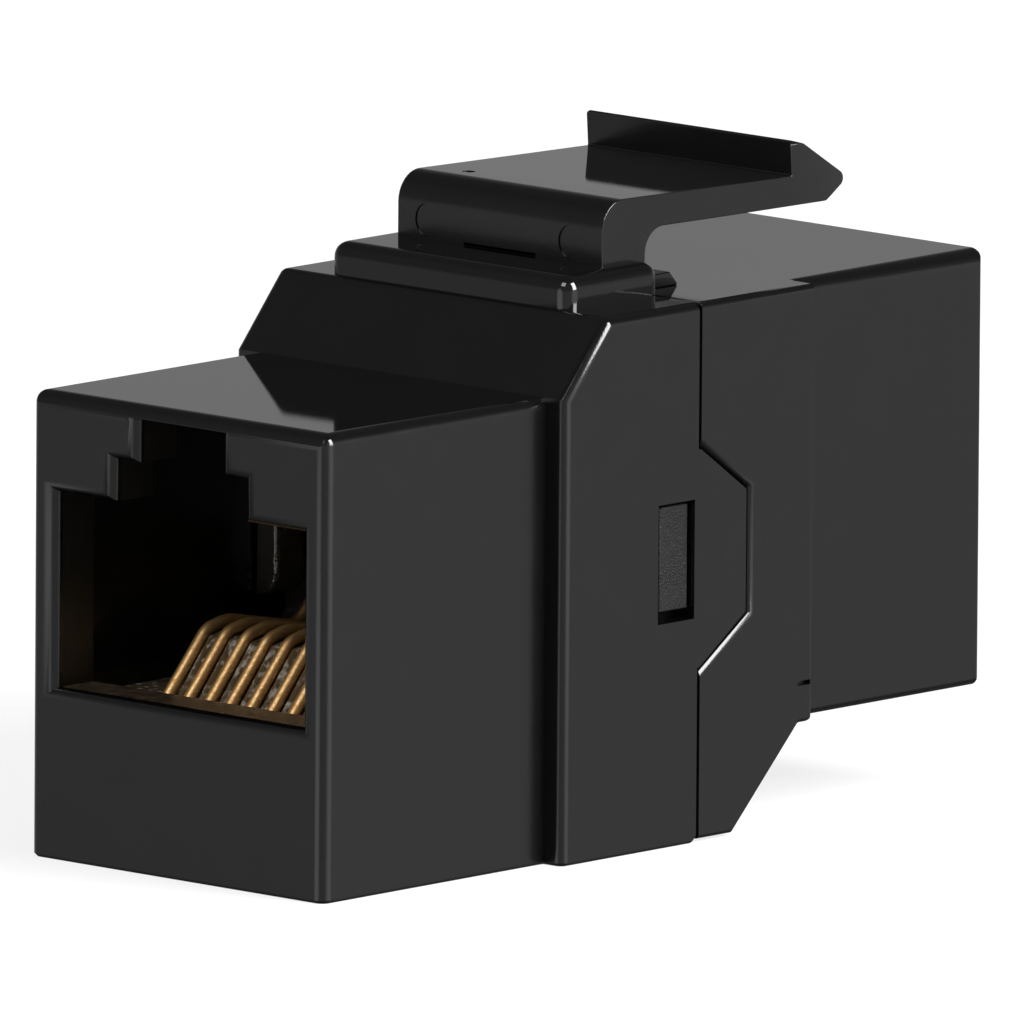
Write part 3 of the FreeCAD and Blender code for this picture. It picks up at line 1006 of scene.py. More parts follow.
@dataclass
class PanelSideHousing(MouldedPiece):
    """The far half, with the coarse catch blocks of its snap arms.

    Attributes:
        catch_x: least distance of a catch block's faces from the middle plane, in mm.
        catch_y: the blocks' range along the coupler, in mm.
        seam: place of the half's end.
        close: how far the rim comes forward to leave a thin seam.
        boss: half width and height of the panel boss.
        shoulders: places along the boss and the rounds of its upper shoulders there.
        middle: half width, height and lower end of the middle body.
        middle_rounds: rounds of the middle body's upper edges and of its lower rear corners.
        middle_span: range along the coupler that the upper edges are cut over.
        rear: rear end of the middle body.
        corner_span: range across the coupler that the lower rear corners are cut over.
        knock_out: corners of the knock-out mark on the right.
        recess_x: least distance of a recess's rim from the middle plane.
        recess_y: range along the coupler of the end of a recess.
        recess_z: range of heights of a recess.
        recess_round: round of a recess's rim.
    """

    catch_x: float = 7.2
    catch_y: Point = (-0.9, 1.05)
    seam: float = 1.49
    close: float = 0.03
    boss: Point = (7.25, 19.7)
    shoulders: tuple[Point, Point] = ((7.5, 0.5), (17.7, 0.64))
    middle: tuple[float, float, float] = (8.08, 19.7, 3.7)
    middle_rounds: Point = (0.28, 0.38)
    middle_span: Point = (1.3, 7.7)
    rear: float = 7.5
    corner_span: Point = (7.26, 8.5)
    knock_out: tuple[Point, Point, Point] = ((7.85, 8.35), (6.7, 7.4), (5.06, 5.24))
    recess_x: float = 8.0
    recess_y: Point = (3.5, 4.2)
    recess_z: Point = (6.0, 14.8)
    recess_round: float = 0.27

    def may_round(self, edge: bmesh.types.BMEdge) -> bool:
        """Leaves the rim at the seam sharp, so that the seam stays a thin line."""
        return not lies_at(edge, self.seam - self.close)

    def shoulder(self, side: float) -> bmesh.types.BMesh:
        """Makes the cutter that leaves a soft upper shoulder on the panel boss.

        Args:
            side: 1 for the right shoulder, -1 for the left.

        Returns:
            The closed cutter.
        """
        rings = []
        for y, reach in self.shoulders:
            rings.append([Vector((side * u, y, v)) for u, v in round_waste(self.boss, reach)])
        return loft(rings)

    def middle_edge(self, side: float) -> bmesh.types.BMesh:
        """Makes the cutter for an upper edge of the middle body.

        Args:
            side: 1 for the right edge, -1 for the left.

        Returns:
            The closed cutter.
        """
        half, top, _ = self.middle
        section = round_waste((half, top), self.middle_rounds[0])
        return loft([[Vector((side * u, y, v)) for u, v in section] for y in self.middle_span])

    def middle_corner(self, side: float) -> bmesh.types.BMesh:
        """Makes the cutter for a lower rear corner of the middle body.

        Args:
            side: 1 for the right corner, -1 for the left.

        Returns:
            The closed cutter.
        """
        section = round_waste((self.rear, -self.middle[2]), self.middle_rounds[1])
        return loft([[Vector((side * x, u, -v)) for u, v in section] for x in self.corner_span])

    def knock_out_mark(self, side: float) -> bmesh.types.BMesh:
        """Makes the cutter for a knock-out mark.

        Args:
            side: 1 for the right mark, -1 for the left.

        Returns:
            The closed cutter.
        """
        across, along, heights = self.knock_out
        low, high = sorted(side * x for x in across)
        return block((low, along[0], heights[0]), (high, along[1], heights[1]))

    def carve(self, obj: bpy.types.Object) -> None:
        """Cuts the soft edges of the boss and the middle body and the small knock-out marks.

        Args:
            obj: the object, in mm.
        """
        for side in SIDES:
            for make in (self.middle_edge, self.middle_corner, self.shoulder, self.knock_out_mark):
                combine(obj, new_piece("cutter", make(side)), Join.CUT)

    def recess_rims(self, bm: bmesh.types.BMesh) -> list[bmesh.types.BMEdge]:
        """Finds the rims of the tongue recesses.

        Args:
            bm: the half's mesh, in mm.

        Returns:
            The edges.
        """
        start, end = self.recess_y
        low, high = self.recess_z
        found = []
        for edge in bm.edges:
            ends = [vert.co for vert in edge.verts]
            outside = all(abs(co.x) > self.recess_x and low < co.z < high for co in ends)
            if outside and start < max(co.y for co in ends) < end:
                found.append(edge)
        return found

    def trim(self, bm: bmesh.types.BMesh) -> None:
        """Brings the rim at the seam forward, then rounds its upper edge and the recesses.

        Args:
            bm: the mesh, in mm.
        """
        for vert in bm.verts:
            if abs(vert.co.y - self.seam) < NEAR:
                vert.co.y -= self.close
        round_seam(bm, self.seam - self.close)
        fine_round(bm, self.recess_rims(bm), self.recess_round, 6)

    def paint(self, obj: bpy.types.Object) -> None:
        """Gives the socket its own finishes and the catch blocks the coarse one.

        Args:
            obj: the object, in metres.
        """
        Socket(turned=True).paint(obj.data, 2)
        for face in obj.data.polygons:
            centre = face.center / MM
            if abs(centre.x) > self.catch_x and self.catch_y[0] < centre.y < self.catch_y[1]:
                face.material_index = 1


@dataclass
class ContactComb(MouldedPiece):
    """A contact carrier with ribs between the wires and two plug stops.

    Attributes:
        turned: True for the carrier of the far socket, which lies turned over.
        stop_face: place of the stops' faces on the carrier that is not turned.
        stop_x: distance from the middle plane past which a stop lies.
        stop_round: round of the stops' rims.
        lifts: rib corners as (y, z) and how far each moves to bring the ribs up between the wires.
        slack: how far a corner may lie from the place that is named for it.
        ribs_end: place where the ribs and their floor end.
    """

    turned: bool = False
    stop_face: float = 6.7
    stop_x: float = 3.5
    stop_round: float = 0.2
    lifts: tuple[tuple[Point, Point], ...] = (
        ((-12.57, 7.45), (0.3, 0.42)),
        ((-11.05, 7.68), (0.0, 0.4)),
    )
    slack: float = 0.05
    ribs_end: float = -6.8

    @property
    def way(self) -> float:
        """1 for the near carrier, -1 for the one that lies turned over."""
        return -1.0 if self.turned else 1.0

    def trim(self, bm: bmesh.types.BMesh) -> None:
        """Brings the ribs up and rounds the rims of the stops.

        Args:
            bm: the mesh, in mm.
        """
        way = self.way
        mid_y, mid_z = TURN_POINT
        for vert in bm.verts:
            y = way * (vert.co.y - mid_y) + mid_y
            z = way * (vert.co.z - mid_z) + mid_z
            for (rib_y, rib_z), (along, up) in self.lifts:
                if abs(y - rib_y) < self.slack and abs(z - rib_z) < self.slack:
                    vert.co.y += way * along
                    vert.co.z += way * up
        rims = []
        for edge in bm.edges:
            outside = all(abs(vert.co.x) > self.stop_x for vert in edge.verts)
            if outside and lies_at(edge, way * self.stop_face) and edge.is_convex:
                rims.append(edge)
        fine_round(bm, rims, self.stop_round, 4)

    def paint(self, obj: bpy.types.Object) -> None:
        """Gives the clamp block and the stops the darker finish; the ribs keep the comb finish with its
        painted glints and bounce.
        """
        for face in obj.data.polygons:
            face.material_index = int(self.way * face.center.y > self.ribs_end * MM)


@dataclass
class ReleaseLatch:
    """The release latch: foot plate, leg, springy arm and barb in one moulding.

    Attributes:
        half: half of the leg's and arm's width in mm.
        foot_half: half of the foot's width.
        foot_y: the foot's range along the coupler.
        foot_z: the foot's range of heights.
        foot_round: round of the foot's upper and upright edges.
        leg_y: the leg's range along the coupler.
        arm_top: height of the arm's top at the leg.
        arm_under: height of the arm's underside at the leg.
        arm_fall: how much lower the arm's top ends.
        under_fall: how much lower the underside ends.
        arm_rounds: outer and inner round of the bend from leg to arm.
        root: how far the leg reaches into the foot.
        flex: first place, step and number of the cross lines that the arm bends at.
        barb_y: place that the barb is measured from along the coupler.
        barb_top: height of the barb.
        barb_face: places of the foot and the tip of the catch face, from barb_y.
        barb_back: place of the top's rear end, from barb_y, and its drop.
        barb_nose: place of the nose, from barb_y, and its height over the underside.
        barb_heel: place where the underside ends, from barb_y.
        barb_rounds: rounds of the catch face's foot and tip, and of the rest.
        barb_corner: round of the barb's two upper corners, seen from the front, and its reach along.
        tongue_half: half of the tongue's width.
        tongue_top: height of the tongue.
        tongue_end: end of the tongue along the coupler.
        tongue_lean: how far its end face leans back.
        tongue_ease: eases of the end's lower edge along and up, and of its upper edge down.
        tongue_edge: round of the tongue's long rims.
        slot: half width of the core slot, its start before and end behind the leg's front, and its range
            of heights over the foot.
        pin: place across, height, radius and depth of the two pin marks on the leg.
        gate: place across and along, sink, radius and depth of the gate mark on the arm.
        bend: points (y, z) between which the arm passes from one body to the other; not used.
        edge: fine edge round.
    """

    half: float = 5.0
    foot_half: float = 5.87
    foot_y: Point = (-3.3, 1.69)
    foot_z: Point = (19.7, 20.9)
    foot_round: float = 0.56
    leg_y: Point = (-0.55, 1.75)
    arm_top: float = 23.25
    arm_under: float = 22.01
    arm_fall: float = 0.22
    under_fall: float = 0.1
    arm_rounds: Point = (1.1, 0.95)
    root: float = 0.5
    flex: tuple[float, float, int] = (2.8, 0.4, 8)
    barb_y: float = 9.41
    barb_top: float = 24.35
    barb_face: Point = (0.18, 0.09)
    barb_back: Point = (0.82, 0.2)
    barb_nose: Point = (3.22, 0.75)
    barb_heel: float = 2.07
    barb_rounds: tuple[float, float, float] = (0.04, 0.07, 0.3)
    barb_corner: Point = (0.24, 1.1)
    tongue_half: float = 4.75
    tongue_top: float = 20.22
    tongue_end: float = 3.78
    tongue_lean: float = 0.36
    tongue_ease: tuple[float, float, float] = (0.05, 0.06, 0.05)
    tongue_edge: float = 0.05
    slot: tuple[float, Point, Point] = (1.75, (0.5, 1.9), (0.005, 0.1))
    pin: tuple[float, float, float, float] = (3.5, 21.6, 0.64, 0.11)
    gate: tuple[Point, float, float, float] = ((-3.2, 1.27), 0.06, 0.24, 0.08)
    bend: tuple[Point, Point] = ((2.0, 22.0), (3.4, 23.4))
    edge: float = 0.035

    def outline(self) -> list[Point]:
        """Side view of leg, arm and barb.

        Returns:
            The outline's points as (y, z).
        """
        root = self.foot_z[0] + self.root
        fall = self.arm_top - self.arm_fall
        first, step, count = self.flex
        flex = [first + step * index for index in range(count)]
        foot_round, tip_round, back_round = self.barb_rounds
        slope = self.arm_fall / (self.barb_y - self.leg_y[0])
        top = [(y, self.arm_top - slope * (y - self.leg_y[0]), 0.0) for y in flex]
        under_end = self.arm_under - self.under_fall
        sink = self.under_fall / (self.barb_y - flex[0])
        under = [(y, self.arm_under - sink * (y - flex[0]), 0.0) for y in reversed(flex)]
        return rounded_outline(
            [
                (self.leg_y[0], root, 0.0),
                (self.leg_y[0], self.arm_top, self.arm_rounds[0]),
                *top,
                (self.barb_y + self.barb_face[0], fall, foot_round),
                (self.barb_y + self.barb_face[1], self.barb_top, tip_round),
                (self.barb_y + self.barb_back[0], self.barb_top - self.barb_back[1], back_round),
                (self.barb_y + self.barb_nose[0], under_end + self.barb_nose[1], back_round),
                (self.barb_y + self.barb_heel, under_end, back_round),
                *under,
                (self.leg_y[1], self.arm_under, self.arm_rounds[1]),
                (self.leg_y[1], root, 0.0),
            ]
        )

    def foot(self) -> bmesh.types.BMesh:
        """Foot plate with its rounded upper and upright edges.

        Returns:
            The closed plate.
        """
        low = (-self.foot_half, self.foot_y[0], self.foot_z[0])
        high = (self.foot_half, self.foot_y[1], self.foot_z[1])
        bm = block(low, high)
        middle = sum(self.foot_z) / 2
        edges = [edge for edge in bm.edges if max(vert.co.z for vert in edge.verts) > middle]
        fine_round(bm, edges, self.foot_round, 6)
        return bm

    def tongue(self) -> bmesh.types.BMesh:
        """Thin tongue of the foot over the far half.

        Returns:
            The closed tongue.
        """
        floor = self.foot_z[0]
        top = self.tongue_top
        end = self.tongue_end
        along, up, down = self.tongue_ease
        outline = [
            (self.leg_y[0], floor),
            (end - along, floor),
            (end, floor + up),
            (end - self.tongue_lean, top - down),
            (end - self.tongue_lean - up, top),
            (self.leg_y[0], top),
        ]
        return prism_across(outline, self.tongue_half, self.tongue_edge)

    def cutters(self) -> list[bmesh.types.BMesh]:
        """Barb corners, core slot and moulding marks, in the order they are cut.

        Returns:
            The closed cutters.
        """
        made = []
        reach, length = self.barb_corner
        section = round_waste((self.half, self.barb_top), reach)
        for side in SIDES:
            ends = (self.barb_y, self.barb_y + length)
            made.append(loft([[Vector((side * u, y, v)) for u, v in section] for y in ends]))
        front = self.leg_y[0]
        foot_top = self.foot_z[1]
        half, (before, behind), (low, high) = self.slot
        made.append(block((-half, front - before, foot_top + low), (half, front + behind, foot_top + high)))
        across, height, radius, depth = self.pin
        for side in SIDES:
            made.append(disc(radius, depth, Vector((side * across, front, height)), "X"))
        (x, y), sink, radius, depth = self.gate
        made.append(disc(radius, depth, Vector((x, y, self.arm_top - sink)), "Z"))
        return made

    def build(self) -> bpy.types.Object:
        """Makes the moulding.

        Returns:
            The object, in mm.
        """
        latch = new_piece("release_latch", prism_across(self.outline(), self.half, self.edge))
        for part in (self.foot(), self.tongue()):
            combine(latch, new_piece("latch_part", part), Join.UNION)
        for cutter in self.cutters():
            combine(latch, new_piece("cutter", cutter), Join.CUT)
        return latch

    def dress(self, obj: bpy.types.Object, materials: Sequence[bpy.types.Material]) -> None:
        """Finishes the latch, gives the faces below the foot's top its second material and bakes its place.

        Args:
            obj: the piece from build.
            materials: its materials.
        """
        finish_surface(obj, materials)
        foot_top = (self.foot_z[1] + NEAR) * MM
        for face in obj.data.polygons:
            if max(obj.data.vertices[index].co.z for index in face.vertices) < foot_top:
                face.material_index = 1
        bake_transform(obj)
        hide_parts("latch_arm")
        LOG.info("%s: %d faces", obj.name, len(obj.data.polygons))


@dataclass
class ContactWires:
    """The formed contact wires, swept along one path and set side by side.

    Attributes:
        count: how many wires there are.
        pitch: distance between them in mm.
        diameter: the wire's diameter in mm.
        half_path: corners of the near half of the path as (y, z, bend radius).
        bend_steps: how many points a bend has.
        ring_steps: how many points the wire has round its section.
    """

    count: int = 8
    pitch: float = 1.016
    diameter: float = 0.45
    half_path: tuple[tuple[float, float, float], ...] = (
        (-14.3, 4.46, 0.0),
        (-14.3, 5.66, 0.45),
        (-12.12, 8.06, 0.9),
        (-11.05, 8.28, 1.8),
        (-7.41, 7.59, 0.9),
        (-4.65, 10.35, 0.9),
    )
    bend_steps: int = 10
    ring_steps: int = 28

    def path(self) -> bpy.types.Object:
        """Makes the path as a line of edges with a bend radius on each corner.

        Returns:
            The line object, in metres.
        """
        mid_y, mid_z = TURN_POINT
        turned = [(2 * mid_y - y, 2 * mid_z - z, bend) for y, z, bend in reversed(self.half_path)]
        corners = [*self.half_path, *turned]
        mesh = bpy.data.meshes.new("contact_wires")
        points = [(0.0, y * MM, z * MM) for y, z, _ in corners]
        mesh.from_pydata(points, [(index, index + 1) for index in range(len(points) - 1)], [])
        bends = mesh.attributes.new("bend", "FLOAT", "POINT")
        bends.data.foreach_set("value", [bend * MM for _, _, bend in corners])
        obj = bpy.data.objects.new("contact_wires", mesh)
        bpy.context.scene.collection.objects.link(obj)
        return obj

    def tree(self) -> bpy.types.NodeTree:
        """Builds the nodes that bend, sweep and repeat the path.

        Returns:
            The Geometry Nodes tree.
        """
        tree = bpy.data.node_groups.new("wire_row", "GeometryNodeTree")
        sheet = NodeSheet(tree)
        face = tree.interface
        face.new_socket("Path", in_out="INPUT", socket_type="NodeSocketGeometry")
        face.new_socket("Wire radius", in_out="INPUT", socket_type="NodeSocketFloat")
        face.new_socket("Pitch", in_out="INPUT", socket_type="NodeSocketFloat")
        face.new_socket("Wires", in_out="INPUT", socket_type="NodeSocketInt")
        face.new_socket("Finish", in_out="INPUT", socket_type="NodeSocketMaterial")
        face.new_socket("Wire row", in_out="OUTPUT", socket_type="NodeSocketGeometry")
        given = sheet.add("NodeGroupInput")
        result = sheet.add("NodeGroupOutput")
        line = sheet.add("GeometryNodeMeshToCurve")
        bend = sheet.add("GeometryNodeInputNamedAttribute", {"Name": "bend"}, data_type="FLOAT")
        arcs = sheet.add("GeometryNodeFilletCurve", {"Count": self.bend_steps}, mode="POLY")
        ring = sheet.add("GeometryNodeCurvePrimitiveCircle", {"Resolution": self.ring_steps})
        sweep = sheet.add("GeometryNodeCurveToMesh", {"Fill Caps": True})
        last = sheet.add("ShaderNodeMath", {1: 1.0}, operation="SUBTRACT")
        span = sheet.add("ShaderNodeMath", operation="MULTIPLY")
        half_span = sheet.add("ShaderNodeMath", {1: -0.5}, operation="MULTIPLY")
        first = sheet.add("ShaderNodeCombineXYZ")
        stride = sheet.add("ShaderNodeCombineXYZ")
        row = sheet.add("GeometryNodeMeshLine", mode="OFFSET")
        copies = sheet.add("GeometryNodeInstanceOnPoints")
        real = sheet.add("GeometryNodeRealizeInstances")
        smooth = sheet.add("GeometryNodeSetShadeSmooth")
        paint = sheet.add("GeometryNodeSetMaterial")
        for source, output, target, socket in (
            (given, "Path", line, "Mesh"),
            (line, "Curve", arcs, "Curve"),
            (bend, "Attribute", arcs, "Radius"),
            (given, "Wire radius", ring, "Radius"),
            (arcs, "Curve", sweep, "Curve"),
            (ring, "Curve", sweep, "Profile Curve"),
            (given, "Wires", last, 0),
            (last, "Value", span, 0),
            (given, "Pitch", span, 1),
            (span, "Value", half_span, 0),
            (half_span, "Value", first, "X"),
            (given, "Pitch", stride, "X"),
            (given, "Wires", row, "Count"),
            (first, "Vector", row, "Start Location"),
            (stride, "Vector", row, "Offset"),
            (row, "Mesh", copies, "Points"),
            (sweep, "Mesh", copies, "Instance"),
            (copies, "Instances", real, "Geometry"),
            (real, "Geometry", smooth, "Geometry"),
            (smooth, "Geometry", paint, "Geometry"),
            (given, "Finish", paint, "Material"),
            (paint, "Geometry", result, "Wire row"),
        ):
            sheet.link(source, output, target, socket)
        return tree

    def build(self, finish: bpy.types.Material) -> bpy.types.Object:
        """Runs the nodes and keeps their mesh.

        Args:
            finish: the wires' material.

        Returns:
            The wires as one plain mesh, in metres.
        """
        obj = self.path()
        tree = self.tree()
        sweep = obj.modifiers.new("wire_row", "NODES")
        sweep.node_group = tree
        inputs = {
            "Wire radius": self.diameter / 2 * MM,
            "Pitch": self.pitch * MM,
            "Wires": self.count,
            "Finish": finish,
        }
        for item in tree.interface.items_tree:
            if item.name in inputs:
                sweep[item.identifier] = inputs[item.name]
        settle(obj)
        bpy.data.node_groups.remove(tree)
        return obj

    def dress(self, obj: bpy.types.Object) -> None:
        """Sets the wires on the frame in place of their solids.

        Args:
            obj: the piece from build.
        """
        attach(obj, Body.COUPLER.value)
        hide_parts(*[f"contact_wire_{number}" for number in range(1, self.count + 1)])
        LOG.info("%s: %d faces", obj.name, len(obj.data.polygons))


def direction(azimuth: float, elevation: float) -> Vector:
    """Points away from the coupler.

    Args:
        azimuth: angle from the cable face's front towards the right, in degrees.
        elevation: angle above the floor, in degrees.

    Returns:
        The direction, of length 1.
    """
    turn = math.radians(azimuth)
    rise = math.radians(elevation)
    return Vector((math.sin(turn) * math.cos(rise), -math.cos(turn) * math.cos(rise), math.sin(rise)))


@dataclass(frozen=True)
class Softbox:
    """One studio lamp, aimed at the coupler.

    Attributes:
        name: the lamp's name.
        azimuth: angle from the cable face's front towards the right, in degrees.
        elevation: angle above the floor, in degrees.
        distance: metres from the coupler.
        width: width in metres.
        height: height in metres.
        power: watts.
    """

    name: str
    azimuth: float
    elevation: float
    distance: float
    width: float
    height: float
    power: float

    def build(self, target: Vector) -> None:
        """Makes the lamp.

        Args:
            target: the point that it shines at.
        """
        lamp = bpy.data.lights.new(self.name, "AREA")
        lamp.shape = "RECTANGLE"
        lamp.size = self.width
        lamp.size_y = self.height
        lamp.energy = self.power
        obj = bpy.data.objects.new(self.name, lamp)
        bpy.context.scene.collection.objects.link(obj)
        way = direction(self.azimuth, self.elevation)
        obj.location = target + way * self.distance
        obj.rotation_euler = way.to_track_quat("Z", "Y").to_euler()


@dataclass(frozen=True)
class Glow:
    """A broad pale patch of the room, low beside the table, as reflections see it.

    Attributes:
        azimuth: its middle, as an angle from the cable face's front towards the right, in degrees.
        elevation: its middle above the floor, in degrees.
        level: its brightness in the middle.
        reach: half of its width as an angle in degrees.
        rim: shares of that reach where it ends and where it is full.
    """

    azimuth: float
    elevation: float
    level: float
    reach: float
    rim: Point = (1.4, 0.5)

    def add_to(self, sheet: NodeSheet, coords: bpy.types.Node, room: bpy.types.Node) -> bpy.types.Node:
        """Adds the patch to the room's colour.

        Args:
            sheet: the world's sheet.
            coords: the node that gives the direction.
            room: the node with the colour so far.

        Returns:
            The node with the sum.
        """
        way = direction(self.azimuth, self.elevation)
        toward = sheet.add("ShaderNodeVectorMath", {1: way}, operation="DOT_PRODUCT")
        sheet.link(coords, "Generated", toward, 0)
        rim = [math.cos(math.radians(self.reach * share)) for share in self.rim]
        fade = ranged(sheet, toward, "Value", (rim[0], rim[1]), (0.0, 1.0))
        fade.interpolation_type = "SMOOTHSTEP"
        lit = sheet.add("ShaderNodeVectorMath", {0: (self.level, self.level, self.level)}, operation="SCALE")
        sheet.link(fade, "Result", lit, "Scale")
        total = sheet.add("ShaderNodeVectorMath", operation="ADD")
        sheet.link(room, "Vector", total, 0)
        sheet.link(lit, "Vector", total, 1)
        return total


@dataclass
class Studio:
    """White table, pale surroundings, lamps and the photograph's camera.

    Attributes:
        aim: the point that the camera was fitted at, in mm.
        azimuth: the camera's turn to the right of the cable face, in degrees.
        elevation: the camera's height angle in degrees.
        roll: the camera's tilt in degrees.
        scale: image pixels per mm at the aim.
        distance: camera distance in mm.
        aim_pixel: where the aim falls in the image.
        image: width of the image in pixels.
        front_sky: brightness over height in front of the cable face, from straight down to straight up.
        rear_sky: the same behind the coupler.
        turn_over: range of the direction's y over which the front passes into the rear.
        side_span: range of the direction's x over which the room brightens.
        side_gain: what the brightness is multiplied by at the ends of that range.
        cool: how much more blue than red the room has.
        fill: grey of the room as matt surfaces see it.
        glows: the bright patches of the room.
        softboxes: the lamps.
        table: radius of the white table in metres, its grey, its own white and the camera's share of that.
    """

    aim: tuple[float, float, float] = (0.0, -0.5, 9.5)
    azimuth: float = 42.50
    elevation: float = 9.635
    roll: float = 0.395
    scale: float = 27.724
    distance: float = 1568.0
    aim_pixel: Point = (498.34, 562.23)
    image: float = 1014.0
    front_sky: tuple[Point, ...] = (
        (0.0, 0.08),
        (0.3, 0.12),
        (0.4, 0.43),
        (0.49, 0.41),
        (0.56, 0.23),
        (0.78, 0.2),
        (0.92, 0.1),
    )
    rear_sky: tuple[Point, ...] = (
        (0.0, 0.08),
        (0.3, 0.12),
        (0.4, 0.45),
        (0.5, 0.45),
        (0.585, 0.37),
        (0.65, 0.17),
        (0.8, 0.075),
    )
    turn_over: Point = (-0.35, 0.35)
    side_span: Point = (-0.7, 0.7)
    side_gain: Point = (1.0, 1.28)
    cool: float = 1.02
    fill: float = 0.5
    glows: tuple[Glow, ...] = (Glow(-13.0, -9.0, 1.1, 20.0), Glow(102.0, -9.0, 0.85, 22.0))
    softboxes: tuple[Softbox, ...] = (
        Softbox("front_key", 6.0, 46.0, 0.55, 0.30, 0.26, 1.6),
        Softbox("right_key", 104.0, 30.0, 0.50, 0.25, 0.40, 7.0),
    )
    table: tuple[float, float, float, float] = (1.2, 0.9, 0.95, 0.8)

    def camera(self) -> None:
        """Sets the camera so that the coupler falls where the photograph has it."""
        turn = math.radians(self.azimuth)
        rise = math.radians(self.elevation)
        tilt = math.radians(self.roll)
        right = Vector((math.cos(turn), math.sin(turn), 0.0))
        ahead = Vector((-math.sin(turn) * math.cos(rise), math.cos(turn) * math.cos(rise), -math.sin(rise)))
        up = right.cross(ahead)
        across = right * math.cos(tilt) + up * math.sin(tilt)
        upward = up * math.cos(tilt) - right * math.sin(tilt)
        offset_x = (self.image / 2 - self.aim_pixel[0]) / self.scale
        offset_y = (self.aim_pixel[1] - self.image / 2) / self.scale
        centre = Vector(self.aim) + across * offset_x + upward * offset_y
        data = bpy.data.cameras.new("photo_camera")
        data.sensor_fit = "HORIZONTAL"
        data.lens = data.sensor_width * self.scale * self.distance / self.image
        obj = bpy.data.objects.new("photo_camera", data)
        bpy.context.scene.collection.objects.link(obj)
        axes = Matrix((across, upward, -ahead)).transposed().to_4x4()
        obj.matrix_world = Matrix.Translation((centre - ahead * self.distance) * MM) @ axes
        bpy.context.scene.camera = obj

    def floor(self) -> None:
        """Makes the white table, which keeps a soft shadow of the coupler."""
        radius, grey, glow, seen = self.table
        bm = bmesh.new()
        bmesh.ops.create_circle(bm, cap_ends=True, segments=96, radius=radius)
        floor = new_piece("white_table", bm)
        floor.visible_glossy = False
        material = bpy.data.materials.new("white_table")
        material.use_nodes = True
        sheet = NodeSheet(material.node_tree)
        output = sheet.add("ShaderNodeOutputMaterial")
        lit = sheet.add("ShaderNodeBsdfDiffuse", {"Color": (grey, grey, grey, 1.0)})
        white = sheet.add("ShaderNodeEmission", {"Strength": glow})
        path = sheet.add("ShaderNodeLightPath")
        share = ranged(sheet, path, "Is Camera Ray", (0.0, 1.0), (0.0, seen))
        mix = sheet.add("ShaderNodeMixShader")
        sheet.link(share, "Result", mix, 0)
        sheet.link(lit, "BSDF", mix, 1)
        sheet.link(white, "Emission", mix, 2)
        sheet.link(mix, "Shader", output, "Surface")
        floor.data.materials.append(material)

    def sky(self, sheet: NodeSheet, height: bpy.types.Node, levels: Sequence[Point]) -> bpy.types.Node:
        """Adds one side of the room as a ramp over height.

        Args:
            sheet: the world's sheet.
            height: the node that gives the height from 0 to 1.
            levels: the ramp's places and greys.

        Returns:
            The ramp node.
        """
        ramp = sheet.add("ShaderNodeValToRGB")
        stops = ramp.color_ramp.elements
        while len(stops) < len(levels):
            stops.new(0.5)
        for stop, (place, grey) in zip(stops, levels):
            stop.position = place
            stop.color = (grey, grey, grey * self.cool, 1.0)
        sheet.link(height, "Result", ramp, "Fac")
        return ramp

    def surroundings(self) -> None:
        """Makes the world: white to the camera, a pale room that darkens overhead in reflections."""
        world = bpy.data.worlds.new("studio_room")
        world.use_nodes = True
        bpy.context.scene.world = world
        sheet = NodeSheet(world.node_tree)
        output = sheet.add("ShaderNodeOutputWorld")
        room = sheet.add("ShaderNodeBackground")
        coords = sheet.add("ShaderNodeTexCoord")
        way = sheet.add("ShaderNodeSeparateXYZ")
        sheet.link(coords, "Generated", way, "Vector")
        height = ranged(sheet, way, "Z", (-1.0, 1.0), (0.0, 1.0))
        both = sheet.add("ShaderNodeMix", data_type="RGBA")
        behind = ranged(sheet, way, "Y", self.turn_over, (0.0, 1.0))
        sheet.link(behind, "Result", both, MIX_SHARE)
        sheet.link(self.sky(sheet, height, self.front_sky), "Color", both, MIX_LOW)
        sheet.link(self.sky(sheet, height, self.rear_sky), "Color", both, MIX_HIGH)
        side = ranged(sheet, way, "X", self.side_span, self.side_gain)
        scaled = sheet.add("ShaderNodeVectorMath", operation="SCALE")
        sheet.link(both, MIX_RESULT, scaled, 0)
        sheet.link(side, "Result", scaled, "Scale")
        for glow in self.glows:
            scaled = glow.add_to(sheet, coords, scaled)
        path = sheet.add("ShaderNodeLightPath")
        matt = (self.fill, self.fill, self.fill, 1.0)
        seen = sheet.add("ShaderNodeMix", {MIX_LOW: matt}, data_type="RGBA")
        glossy = sheet.add("ShaderNodeMath", operation="MAXIMUM")
        sheet.link(path, "Is Glossy Ray", glossy, 0)
        sheet.link(path, "Is Transmission Ray", glossy, 1)
        sheet.link(glossy, "Value", seen, MIX_SHARE)
        sheet.link(scaled, "Vector", seen, MIX_HIGH)
        final = sheet.add("ShaderNodeMix", {MIX_HIGH: (1.0, 1.0, 1.0, 1.0)}, data_type="RGBA")
        sheet.link(path, "Is Camera Ray", final, MIX_SHARE)
        sheet.link(seen, MIX_RESULT, final, MIX_LOW)
        sheet.link(final, MIX_RESULT, room, "Color")
        sheet.link(room, "Background", output, "Surface")

    def lamps(self) -> None:
        """Sets the lamps round the coupler."""
        target = Vector(self.aim) * MM
        for softbox in self.softboxes:
            softbox.build(target)

    def build(self) -> None:
        """Sets up the whole studio."""
        bpy.context.scene.view_settings.view_transform = "Standard"
        self.floor()
        self.surroundings()
        self.lamps()
        self.camera()


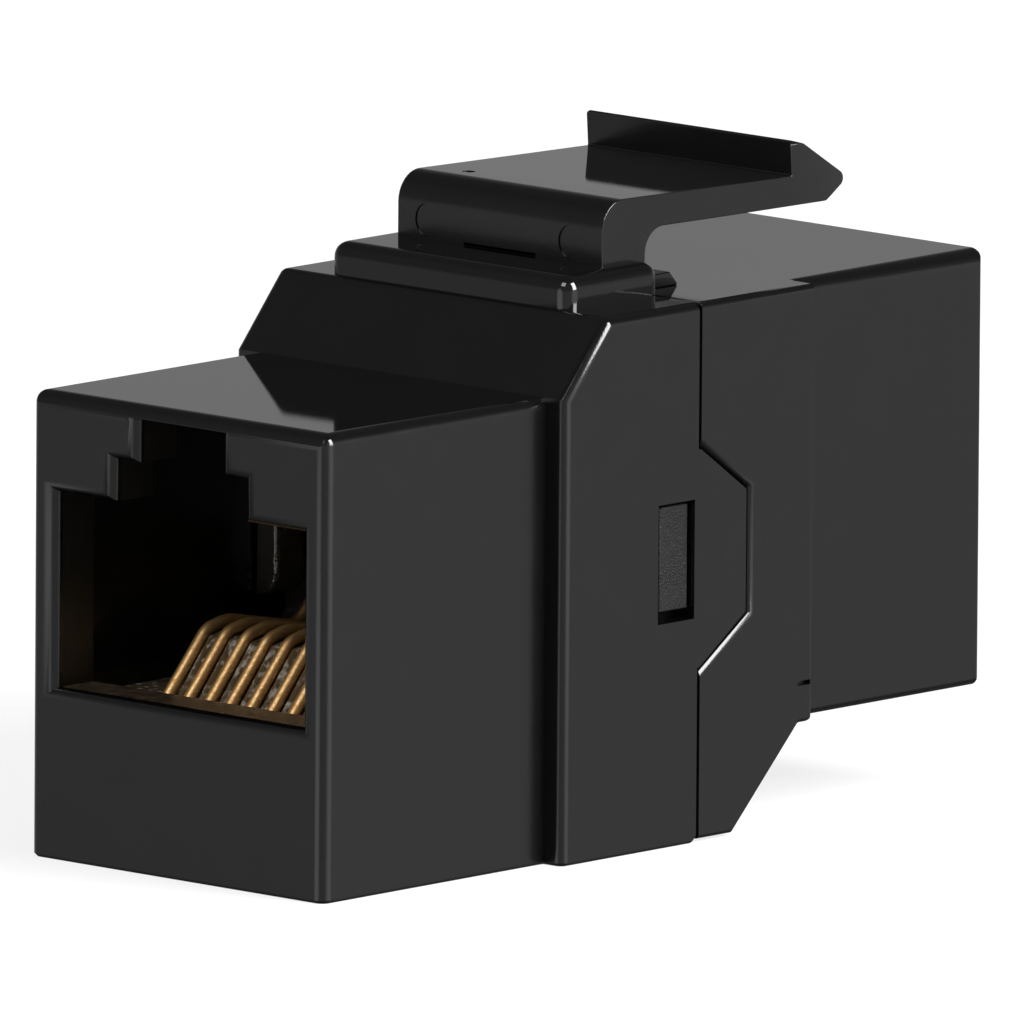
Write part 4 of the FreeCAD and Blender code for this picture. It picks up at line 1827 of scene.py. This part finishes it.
def main() -> None:
    """Builds the coupler piece by piece, then the studio."""
    logging.basicConfig(level=logging.INFO, format="%(name)s %(message)s")
    finishes = Finishes()
    # the sill's and the room's finishes are painted light; the mouth's is the plain matt plastic
    inner = [finishes.socket, finishes.sill, finishes.painted_room_light]
    cable_half = CableSideHousing("cable_side_housing", "cable_side_shell", 0.06, Slot.HOUSING)
    cable_half.dress(cable_half.build(), [finishes.housing, *inner])
    panel_half = PanelSideHousing("panel_side_housing", "panel_side_shell", 0.06, Slot.HOUSING)
    panel_half.dress(panel_half.build(), [finishes.housing, finishes.spark, *inner])
    latch = ReleaseLatch()
    latch.dress(latch.build(), [finishes.latch, finishes.polished])
    for side in ("cable_side", "panel_side"):
        turned = side == "panel_side"
        comb = ContactComb(f"{side}_comb", f"{side}_contact_comb", 0.03, Slot.COMB, turned=turned)
        comb.dress(comb.build(), [finishes.comb, finishes.stop])
    wires = ContactWires()
    wires.dress(wires.build(finishes.gold))
    Studio().build()


if __name__ == "__main__":
    main()
